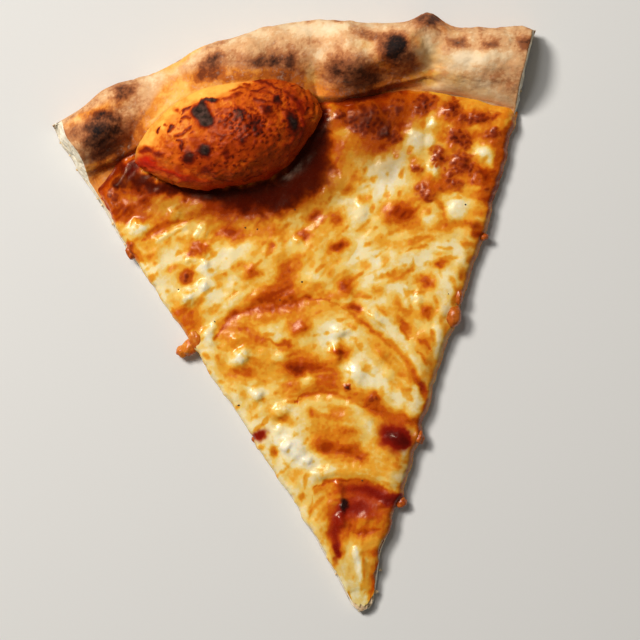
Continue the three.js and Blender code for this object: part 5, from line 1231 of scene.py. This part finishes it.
def lump(centre, radii, turn=0.0, wob=0.15, seed=0.0, rings=14, around=22):
    """One small uneven ball, for drips and beads; turn about Z in degrees."""
    verts, faces = [], []
    for i in range(rings + 1):
        a = math.pi * i / rings
        for j in range(around):
            b = 2 * math.pi * j / around
            verts.append((math.sin(a) * math.cos(b), math.sin(a) * math.sin(b), math.cos(a)))
            if i in (0, rings):
                break
    first = lambda i: 0 if i == 0 else 1 + (i - 1) * around
    for j in range(around):
        faces.append((0, 1 + j, 1 + (j + 1) % around))
        end = first(rings)
        faces.append((end, first(rings - 1) + (j + 1) % around, first(rings - 1) + j))
    for i in range(1, rings - 1):
        for j in range(around):
            k = (j + 1) % around
            faces.append((first(i) + j, first(i + 1) + j, first(i + 1) + k, first(i) + k))
    v = np.array(verts)
    v = v * (1 + wob * fbm(v[:, 0] * 1.3 + seed, v[:, 1] * 1.3, v[:, 2] * 1.3 + seed, 2))[:, None]
    v = v * np.array(radii)
    c, s = math.cos(math.radians(turn)), math.sin(math.radians(turn))
    v = np.stack([v[:, 0] * c - v[:, 1] * s, v[:, 0] * s + v[:, 1] * c, v[:, 2]], 1)
    return v + np.array(centre), faces


def join(parts):
    verts, faces, at = [], [], 0
    for v, f in parts:
        verts.append(v)
        faces += [tuple(k + at for k in g) for g in f]
        at += len(v)
    return np.concatenate(verts), faces


# ------------------------------------------------------------------ materials
def srgb(r, g, b):
    f = lambda c: c / 12.92 if c <= 0.04045 else ((c + 0.055) / 1.055) ** 2.4
    return (f(r / 255.0), f(g / 255.0), f(b / 255.0), 1.0)


class Nodes:
    """A short way to write a node material."""

    def __init__(self, name):
        self.mat = bpy.data.materials.new(name)
        self.mat.use_nodes = True
        self.tree = self.mat.node_tree
        self.tree.nodes.clear()
        self.out = self.tree.nodes.new("ShaderNodeOutputMaterial")
        self.bsdf = self.tree.nodes.new("ShaderNodeBsdfPrincipled")
        self.tree.links.new(self.bsdf.outputs[0], self.out.inputs[0])
        self.coord = self.tree.nodes.new("ShaderNodeTexCoord").outputs["Object"]

    def put(self, value, socket):
        if hasattr(value, "is_linked") or hasattr(value, "node"):
            self.tree.links.new(value, socket)
        else:
            socket.default_value = value

    def layer(self, key):
        n = self.tree.nodes.new("ShaderNodeAttribute")
        n.attribute_name = key
        return n.outputs["Fac"]

    def noise(self, scale, detail=4.0, rough=0.55, distort=0.0, stretch=None):
        n = self.tree.nodes.new("ShaderNodeTexNoise")
        n.inputs["Scale"].default_value = scale
        n.inputs["Detail"].default_value = detail
        n.inputs["Roughness"].default_value = rough
        n.inputs["Distortion"].default_value = distort
        src = self.coord
        if stretch:
            m = self.tree.nodes.new("ShaderNodeMapping")
            m.inputs["Scale"].default_value = stretch
            self.tree.links.new(src, m.inputs["Vector"])
            src = m.outputs["Vector"]
        self.tree.links.new(src, n.inputs["Vector"])
        return n.outputs["Fac"]

    def cell(self, scale, feature="F1", rand=1.0):
        n = self.tree.nodes.new("ShaderNodeTexVoronoi")
        n.feature = feature
        n.inputs["Scale"].default_value = scale
        n.inputs["Randomness"].default_value = rand
        self.tree.links.new(self.coord, n.inputs["Vector"])
        return n.outputs["Distance"]

    def ramp(self, value, a, b, lo=0.0, hi=1.0, kind="SMOOTHSTEP"):
        n = self.tree.nodes.new("ShaderNodeMapRange")
        n.interpolation_type = kind
        self.put(value, n.inputs["Value"])
        n.inputs["From Min"].default_value = a
        n.inputs["From Max"].default_value = b
        n.inputs["To Min"].default_value = lo
        n.inputs["To Max"].default_value = hi
        return n.outputs["Result"]

    def colours(self, value, stops):
        """A smooth run of colours: stops of (place, colour)."""
        n = self.tree.nodes.new("ShaderNodeValToRGB")
        n.color_ramp.interpolation = "EASE"
        while len(n.color_ramp.elements) < len(stops):
            n.color_ramp.elements.new(0.5)
        for e, (at, c) in zip(n.color_ramp.elements, stops):
            e.position = at
            e.color = c
        self.put(value, n.inputs["Fac"])
        return n.outputs["Color"]

    def math(self, op, a, b=0.0, clamp=False):
        n = self.tree.nodes.new("ShaderNodeMath")
        n.operation = op
        n.use_clamp = clamp
        self.put(a, n.inputs[0])
        self.put(b, n.inputs[1])
        return n.outputs[0]

    def blend(self, fac, a, b, kind="MIX"):
        n = self.tree.nodes.new("ShaderNodeMix")
        n.data_type = "RGBA"
        n.blend_type = kind
        self.put(fac, n.inputs[0])
        self.put(a, n.inputs[6])
        self.put(b, n.inputs[7])
        return n.outputs[2]

    def bump(self, height, strength, distance, normal=None):
        n = self.tree.nodes.new("ShaderNodeBump")
        n.inputs["Strength"].default_value = strength
        n.inputs["Distance"].default_value = distance
        self.put(height, n.inputs["Height"])
        if normal is not None:
            self.tree.links.new(normal, n.inputs["Normal"])
        return n.outputs["Normal"]


def crust_material():
    m = Nodes("crust")
    bake, burnt, gold = m.layer("bake"), m.layer("burnt"), m.layer("gold")
    grain = m.noise(1100, 3, 0.7)
    mottle = m.noise(340, 4, 0.65)
    wide = m.noise(60, 4, 0.6)
    t = m.math("ADD", bake, m.ramp(mottle, 0.3, 0.7, -0.045, 0.045), clamp=True)
    t = m.math("ADD", t, m.ramp(wide, 0.3, 0.7, -0.02, 0.02), clamp=True)
    t = m.math("ADD", t, m.math("MULTIPLY", m.ramp(grain, 0.3, 0.7, -0.12, 0.11, "LINEAR"), m.ramp(burnt, 0, 0.7, 0.35, 0.6)), clamp=True)
    plain = m.colours(t, [(0.0, srgb(246, 220, 184)), (0.15, srgb(240, 207, 164)), (0.32, srgb(222, 171, 121)), (0.47, srgb(186, 122, 76)),
                          (0.62, srgb(142, 82, 48)), (0.78, srgb(88, 49, 29)), (0.9, srgb(50, 26, 16)), (1.0, srgb(24, 11, 8))])
    warm = m.colours(t, [(0.0, srgb(246, 208, 126)), (0.2, srgb(240, 178, 82)), (0.38, srgb(222, 134, 42)), (0.55, srgb(178, 88, 18)),
                         (0.72, srgb(118, 50, 8)), (1.0, srgb(36, 13, 4))])
    col = m.blend(gold, plain, warm)
    dusty = m.math("MULTIPLY", m.math("MULTIPLY", m.layer("flour"), m.ramp(mottle, 0.45, 0.66)), m.ramp(grain, 0.4, 0.62), clamp=True)
    dusty = m.math("MULTIPLY", dusty, m.ramp(burnt, 0.05, 0.4, 1.0, 0.0))
    col = m.blend(m.math("MULTIPLY", dusty, 0.4), col, srgb(246, 222, 188))
    col = m.blend(m.math("MULTIPLY", m.layer("sauced"), m.ramp(m.noise(120, 4), 0.35, 0.6, 0.3, 0.8)), col, srgb(196, 92, 20))
    # the underside: pale, floury, with browned leopard spots
    spot = m.ramp(m.noise(70, 5, 0.6, 0.6), 0.47, 0.63)
    dark = m.ramp(m.noise(38, 4, 0.65, 0.3), 0.56, 0.68)
    low = m.blend(m.math("MULTIPLY", spot, 0.75), srgb(226, 186, 136), srgb(166, 106, 60))
    low = m.blend(m.math("MULTIPLY", dark, 0.8), low, srgb(84, 54, 36))
    low = m.blend(m.ramp(m.noise(300, 4, 0.7), 0.5, 0.72, 0, 0.45), low, srgb(243, 226, 198))
    col = m.blend(m.layer("under"), col, low)
    # cut faces: white crumb with darker pores, a thin browned skin at the foot
    crumb = m.blend(m.ramp(m.noise(240, 4, 0.6), 0.4, 0.7), srgb(252, 243, 222), srgb(242, 222, 184))
    crumb = m.blend(m.ramp(m.layer("hollow"), 0.1, 0.9, 0, 0.7), crumb, srgb(224, 192, 142))
    crumb = m.blend(m.layer("skin"), crumb, srgb(168, 112, 66))
    col = m.blend(m.layer("crumb"), col, crumb)
    m.put(col, m.bsdf.inputs["Base Color"])
    rough = m.ramp(m.layer("sauced"), 0, 1, 0.78, 0.42)
    m.put(rough, m.bsdf.inputs["Roughness"])
    n1 = m.bump(m.noise(420, 5, 0.7), 0.55, 0.00045)
    n2 = m.bump(grain, 0.5, 0.00018, n1)
    m.put(n2, m.bsdf.inputs["Normal"])
    m.bsdf.inputs["Specular IOR Level"].default_value = 0.2
    return m.mat


def blister_material():
    m = Nodes("blister")
    bare, tone, red, scarlet, black = (m.layer(k) for k in ("bare", "tone", "red", "scarlet", "black"))
    mottle = m.noise(420, 4, 0.6)
    wide = m.noise(110, 4, 0.6)
    t = m.math("ADD", tone, m.math("ADD", m.ramp(mottle, 0.3, 0.7, -0.04, 0.04), m.ramp(wide, 0.3, 0.7, -0.03, 0.03)), clamp=True)
    col = m.colours(t, [(0.02, srgb(248, 208, 112)), (0.14, srgb(244, 182, 76)), (0.28, srgb(232, 138, 44)), (0.42, srgb(206, 90, 14)),
                        (0.56, srgb(168, 56, 6)), (0.70, srgb(118, 28, 4)), (0.85, srgb(66, 15, 8)), (1.0, srgb(24, 12, 11))])
    col = m.blend(m.math("MULTIPLY", red, 0.5), col, srgb(172, 28, 4))
    col = m.blend(m.math("MULTIPLY", scarlet, 0.92), col, srgb(196, 24, 5))
    col = m.blend(m.ramp(black, 0.4, 1.0), col, m.blend(m.ramp(mottle, 0.4, 0.65), srgb(26, 14, 13), srgb(74, 50, 44)))
    m.put(col, m.bsdf.inputs["Base Color"])
    rough = m.ramp(m.math("ADD", bare, black, clamp=True), 0, 1, 0.46, 0.6)
    m.put(rough, m.bsdf.inputs["Roughness"])
    m.bsdf.inputs["Specular IOR Level"].default_value = 0.18
    m.bsdf.inputs["Specular Tint"].default_value = (1.0, 0.75, 0.52, 1.0)
    n1 = m.bump(m.noise(520, 4, 0.65), 0.35, 0.0005)
    m.put(m.bump(m.noise(1500, 3, 0.6), 0.25, 0.0002, n1), m.bsdf.inputs["Normal"])
    return m.mat


def cheese_material(name, shine, tint):
    m = Nodes(name)
    oil, sauce, bead, black, shade_and_stain = (m.layer(k) for k in ("oil", "sauce", "bead", "black", "shade_and_stain"))
    fine = m.noise(900, 3, 0.6)
    soft = m.noise(260, 3, 0.55)
    o = m.math("ADD", oil, m.math("ADD", m.ramp(soft, 0.3, 0.7, -0.03, 0.03), m.ramp(fine, 0.3, 0.7, -0.015, 0.015)), clamp=True)
    col = m.colours(o, [(0.02, srgb(248, 238, 210)), (0.12, srgb(244, 224, 170)), (0.22, srgb(240, 199, 102)), (0.32, srgb(235, 165, 48)),
                        (0.44, srgb(222, 129, 22)), (0.56, srgb(202, 90, 7)), (0.70, srgb(164, 56, 4)), (0.85, srgb(122, 31, 3)),
                        (1.0, srgb(88, 16, 2))])
    red = m.colours(sauce, [(0.15, srgb(196, 74, 22)), (0.5, srgb(170, 44, 8)), (0.8, srgb(134, 20, 4)), (1.0, srgb(96, 8, 3))])
    col = m.blend(m.ramp(sauce, 0.1, 0.7), col, red)
    clump = m.blend(m.ramp(soft, 0.40, 0.62), srgb(126, 38, 8), srgb(84, 18, 6))
    col = m.blend(m.ramp(bead, 0.05, 0.35), col, srgb(192, 84, 12))
    col = m.blend(m.ramp(bead, 0.25, 0.6), col, srgb(146, 50, 10))
    col = m.blend(m.ramp(bead, 0.5, 0.95), col, clump)
    col = m.blend(m.ramp(black, 0.2, 0.95), col, srgb(38, 10, 9))
    # painted shadow and browned cheese: near black red brown
    col = m.blend(m.ramp(shade_and_stain, 0.3, 1.0, 0, 0.9), col, srgb(66, 10, 2))
    # painted shade: the colour multiplied darker
    col = m.blend(m.layer("painted_shade"), col, (0.50, 0.40, 0.32, 1), "MULTIPLY")
    m.put(col, m.bsdf.inputs["Base Color"])
    rough = m.math("ADD", m.ramp(oil, 0.3, 0.8, 0.20, 0.27), m.ramp(fine, 0.3, 0.7, -0.03, 0.06))
    rough = m.math("ADD", rough, m.math("ADD", m.ramp(bead, 0.2, 0.7, 0.0, 0.16), m.ramp(shade_and_stain, 0.1, 0.6, 0.0, -0.04)))
    m.put(rough, m.bsdf.inputs["Roughness"])
    m.bsdf.inputs["Specular IOR Level"].default_value = shine
    m.bsdf.inputs["Specular Tint"].default_value = tint
    m.bsdf.inputs["Subsurface Weight"].default_value = 0.2
    m.bsdf.inputs["Subsurface Radius"].default_value = (1.0, 0.6, 0.25)
    m.bsdf.inputs["Subsurface Scale"].default_value = 0.0022
    n1 = m.bump(m.noise(430, 3, 0.5), 0.12, 0.0005)
    m.put(m.bump(fine, 0.10, 0.0002, n1), m.bsdf.inputs["Normal"])
    return m.mat


def sauce_material():
    m = Nodes("tomato_sauce")
    pulp = m.noise(420, 4, 0.6)
    col = m.blend(m.ramp(pulp, 0.35, 0.65), srgb(176, 48, 16), srgb(122, 26, 8))
    col = m.blend(m.math("MULTIPLY", m.layer("wet"), 0.5), col, srgb(206, 92, 30))
    m.put(col, m.bsdf.inputs["Base Color"])
    m.put(m.ramp(pulp, 0.3, 0.7, 0.24, 0.42), m.bsdf.inputs["Roughness"])
    m.put(m.bump(pulp, 0.5, 0.0005), m.bsdf.inputs["Normal"])
    return m.mat


def drip_material():
    m = Nodes("drips")
    a = m.noise(500, 4, 0.6)
    b = m.noise(110, 3, 0.6)
    col = m.blend(m.ramp(b, 0.38, 0.62), srgb(238, 154, 30), srgb(204, 96, 12))
    col = m.blend(m.ramp(a, 0.5, 0.7, 0, 0.5), col, srgb(240, 172, 60))
    brown = m.blend(m.ramp(a, 0.35, 0.65), srgb(150, 54, 10), srgb(196, 92, 22))
    col = m.blend(m.layer("toast"), col, brown)
    m.put(col, m.bsdf.inputs["Base Color"])
    m.put(m.ramp(a, 0.3, 0.7, 0.24, 0.4), m.bsdf.inputs["Roughness"])
    m.put(m.bump(a, 0.4, 0.0004), m.bsdf.inputs["Normal"])
    return m.mat


def fleck_material(name, dark, light):
    m = Nodes(name)
    col = m.blend(m.ramp(m.noise(1500, 3), 0.4, 0.6), dark, light)
    m.put(col, m.bsdf.inputs["Base Color"])
    m.bsdf.inputs["Roughness"].default_value = 0.7
    m.put(m.bump(m.noise(2500, 3), 0.5, 0.0002), m.bsdf.inputs["Normal"])
    return m.mat


# ------------------------------------------------------------------ the pieces
v, f, kind = dough_mesh()
f = orient(f, v, 1)
v, layers = dough_looks(v, f, kind)
dough = make("dough_baked", v, f, layers)
dough.data.materials.append(crust_material())

v, f, layers = blister_mesh()
blister = make("blister", v, f, layers)
blister.data.materials.append(blister_material())

v, f, layers = cheese_mesh()
f = orient(f, v, 1)
cheese = make("cheese_melted", v, f, layers)
cheese.data.materials.append(cheese_material("melted_cheese", 0.40, (1.0, 0.84, 0.66, 1.0)))
cheese.data.materials.append(cheese_material("toasted_cheese", 0.14, (1.0, 0.70, 0.48, 1.0)))
# The browned places, and the cheese under the painted shadow, take the duller of the two.
dry = np.maximum(np.maximum(layers["bead"], layers["shade_and_stain"]), smooth(0.54, 0.72, layers["oil"]) * (layers["sauce"] < 0.3))
first = np.empty(len(cheese.data.polygons), dtype=np.int32)
cheese.data.polygons.foreach_get("loop_start", first)
corner_of = np.empty(len(cheese.data.loops), dtype=np.int32)
cheese.data.loops.foreach_get("vertex_index", corner_of)
cheese.data.polygons.foreach_set("material_index", (dry[corner_of[first]] > 0.45).astype(np.int32))

v, f, layers = sauce_mesh()
f = orient(f, v, 1)
sauce = make("sauce_spread", v, f, layers)
sauce.data.materials.append(sauce_material())


def at_view(px, py, z):
    k = (EYE - z) / (EYE - LEVEL)
    x, y = plan(320 + (px - 320) * k, 320 + (py - 320) * k)
    return (x, y, z)


drips = join([
    lump(at_view(195.5, 338, 6.0), (2.7, 4.4, 2.2), 12, 0.12, 1.0),
    lump(at_view(190, 347, 4.6), (4.2, 2.8, 2.2), 40, 0.15, 2.0),
    lump(at_view(182.5, 351.5, 3.6), (2.5, 2.3, 2.0), 20, 0.15, 3.0),
    lump(at_view(132, 252, 4.4), (2.1, 2.6, 2.0), 0, 0.2, 4.0),
    lump(at_view(454, 316.5, 6.4), (2.9, 4.4, 2.6), -14, 0.08, 5.0),
    lump(at_view(459, 297, 6.2), (1.5, 3.4, 1.6), -14, 0.15, 5.5),
    lump(at_view(258, 437, 4.0), (2.4, 2.0, 1.5), 40, 0.2, 6.0),
    lump(at_view(401, 502, 3.8), (2.2, 2.0, 1.4), 0, 0.2, 7.0),
    lump(at_view(484, 237, 4.9), (1.6, 1.4, 1.2), 0, 0.2, 8.0),
    lump(at_view(419, 437, 5.0), (1.9, 2.7, 1.9), 0, 0.2, 9.0),
])
toast = np.where(drips[0][:, 0] < 0, 0.15, 0.85)
toast = np.where((drips[0][:, 0] < 0) & (np.abs(drips[0][:, 1] - at_view(190, 345, 4.6)[1]) > 14), 0.9, toast)
drip = make("drips", *drips, {"toast": toast})
drip.data.materials.append(drip_material())

rng = np.random.RandomState(5)


def heights(points):
    """Highest surface of the cheese under points in plan, mm."""
    co = np.empty(len(cheese.data.vertices) * 3)
    cheese.data.vertices.foreach_get("co", co)
    co = co.reshape(-1, 3) * 1000
    co[:, 0] += ORIGIN[0]
    co[:, 1] += ORIGIN[1]
    out = []
    for x, y in points:
        d = (co[:, 0] - x) ** 2 + (co[:, 1] - y) ** 2
        out.append(co[d < 0.7, 2].max() if (d < 0.7).any() else 7.0)
    return out


fleck_at = [(257.5, 229.5), (245.6, 228), (295, 210), (179, 289.5), (215, 321.5), (465, 205), (280, 300), (302, 282), (239, 405),
            (448, 294), (362, 480)]
pts = [plan(a, b) for a, b in fleck_at]
parts = []
for (x, y), z in zip(pts, heights(pts)):
    s = rng.uniform(0.18, 0.34)
    parts.append(lump((x, y, z + 0.08), (s * rng.uniform(1, 1.8), s, s * 0.5), rng.uniform(0, 180), 0.3, rng.uniform(0, 9), 6, 9))
fleck = make("char_flecks", *join(parts))
fleck.data.materials.append(fleck_material("char_fleck", srgb(24, 18, 14), srgb(52, 38, 26)))

# Loose crumbs along the cuts and the point.
parts = []
for k in range(46):
    side = -1 if rng.rand() < 0.6 else 1
    r = rng.uniform(12, 215)
    x, y = place(np.array([side * 1.0]), np.array([r]), -0.1, -0.1)
    s = rng.uniform(0.25, 0.7)
    parts.append(lump((x[0] - side * 0.35, y[0], rng.uniform(0.5, 2.6)), (s, s * rng.uniform(0.6, 1), s * rng.uniform(0.6, 1)),
                      rng.uniform(0, 180), 0.35, rng.uniform(0, 9), 6, 9))
for a, b, s in [(376, 592, 0.9), (372, 598, 0.7), (352, 596, 0.6), (360, 610, 0.8), (344, 580, 0.6), (380, 570, 0.6)]:
    x, y, z = at_view(a, b, 2.2)
    parts.append(lump((x, y, z), (s, s * 0.8, s * 0.7), rng.uniform(0, 180), 0.35, rng.uniform(0, 9), 7, 10))
crumbs = make("crumbs", *join(parts))
crumbs.data.materials.append(fleck_material("crumb", srgb(214, 176, 122), srgb(240, 220, 180)))

for piece in (dough, blister, cheese, sauce, drip, fleck, crumbs):
    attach(piece, "root")
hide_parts("dough")
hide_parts("cheese")
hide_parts("sauce")

# ------------------------------------------------------------------ floor, light, camera
me = bpy.data.meshes.new("floor")
me.from_pydata([(-4, -4, 0), (4, -4, 0), (4, 4, 0), (-4, 4, 0)], [], [(0, 1, 2, 3)])
floor = bpy.data.objects.new("floor", me)
floor.location.z = -0.0004
bpy.context.collection.objects.link(floor)
fm = Nodes("floor")
fm.bsdf.inputs["Base Color"].default_value = (0.72, 0.715, 0.70, 1)
fm.bsdf.inputs["Roughness"].default_value = 0.9
me.materials.append(fm.mat)

RIGHT = Vector((math.cos(TURN), -math.sin(TURN), 0))
UP = Vector((math.sin(TURN), math.cos(TURN), 0))
aim = Vector(((CENTRE[0] - ORIGIN[0]) / 1000, (CENTRE[1] - ORIGIN[1]) / 1000, 0))

cam_data = bpy.data.cameras.new("camera")
cam = bpy.data.objects.new("camera", cam_data)
bpy.context.collection.objects.link(cam)
cam.matrix_world = Matrix((
    (RIGHT.x, UP.x, 0, aim.x),
    (RIGHT.y, UP.y, 0, aim.y),
    (0, 0, 1, EYE / 1000),
    (0, 0, 0, 1)))
cam_data.sensor_width = 36
cam_data.lens = 36 * (EYE - LEVEL) / (640 * UNIT)
cam_data.clip_start = 0.05
cam_data.clip_end = 20
bpy.context.scene.camera = cam


def area(name, direction, distance, size, power, colour, mirrored=True):
    data = bpy.data.lights.new(name, "AREA")
    data.shape = "DISK"
    data.size = size
    data.energy = power
    data.color = colour
    o = bpy.data.objects.new(name, data)
    bpy.context.collection.objects.link(o)
    d = (RIGHT * direction[0] + UP * direction[1] + Vector((0, 0, direction[2]))).normalized()
    o.location = d * distance
    o.rotation_euler = (-d).to_track_quat("-Z", "Y").to_euler()
    o.visible_glossy = mirrored
    return o


area("key", (-0.58, 0.48, 0.93), 1.5, 0.40, 20.6, (1.0, 0.965, 0.91))
area("top", (-0.28, 0.40, 1.0), 1.5, 0.34, 4.2, (1.0, 0.98, 0.95))
area("fill", (0.7, -0.5, 1.3), 1.8, 1.6, 1.0, (1.0, 0.97, 0.93), False)
world = bpy.data.worlds.new("world")
bpy.context.scene.world = world
world.use_nodes = True
world.node_tree.nodes["Background"].inputs[0].default_value = (1.0, 0.98, 0.95, 1)
world.node_tree.nodes["Background"].inputs[1].default_value = 0.07
bpy.context.scene.view_settings.view_transform = "Standard"
bpy.context.scene.view_settings.look = "None"
bpy.context.scene.view_settings.exposure = 0.0
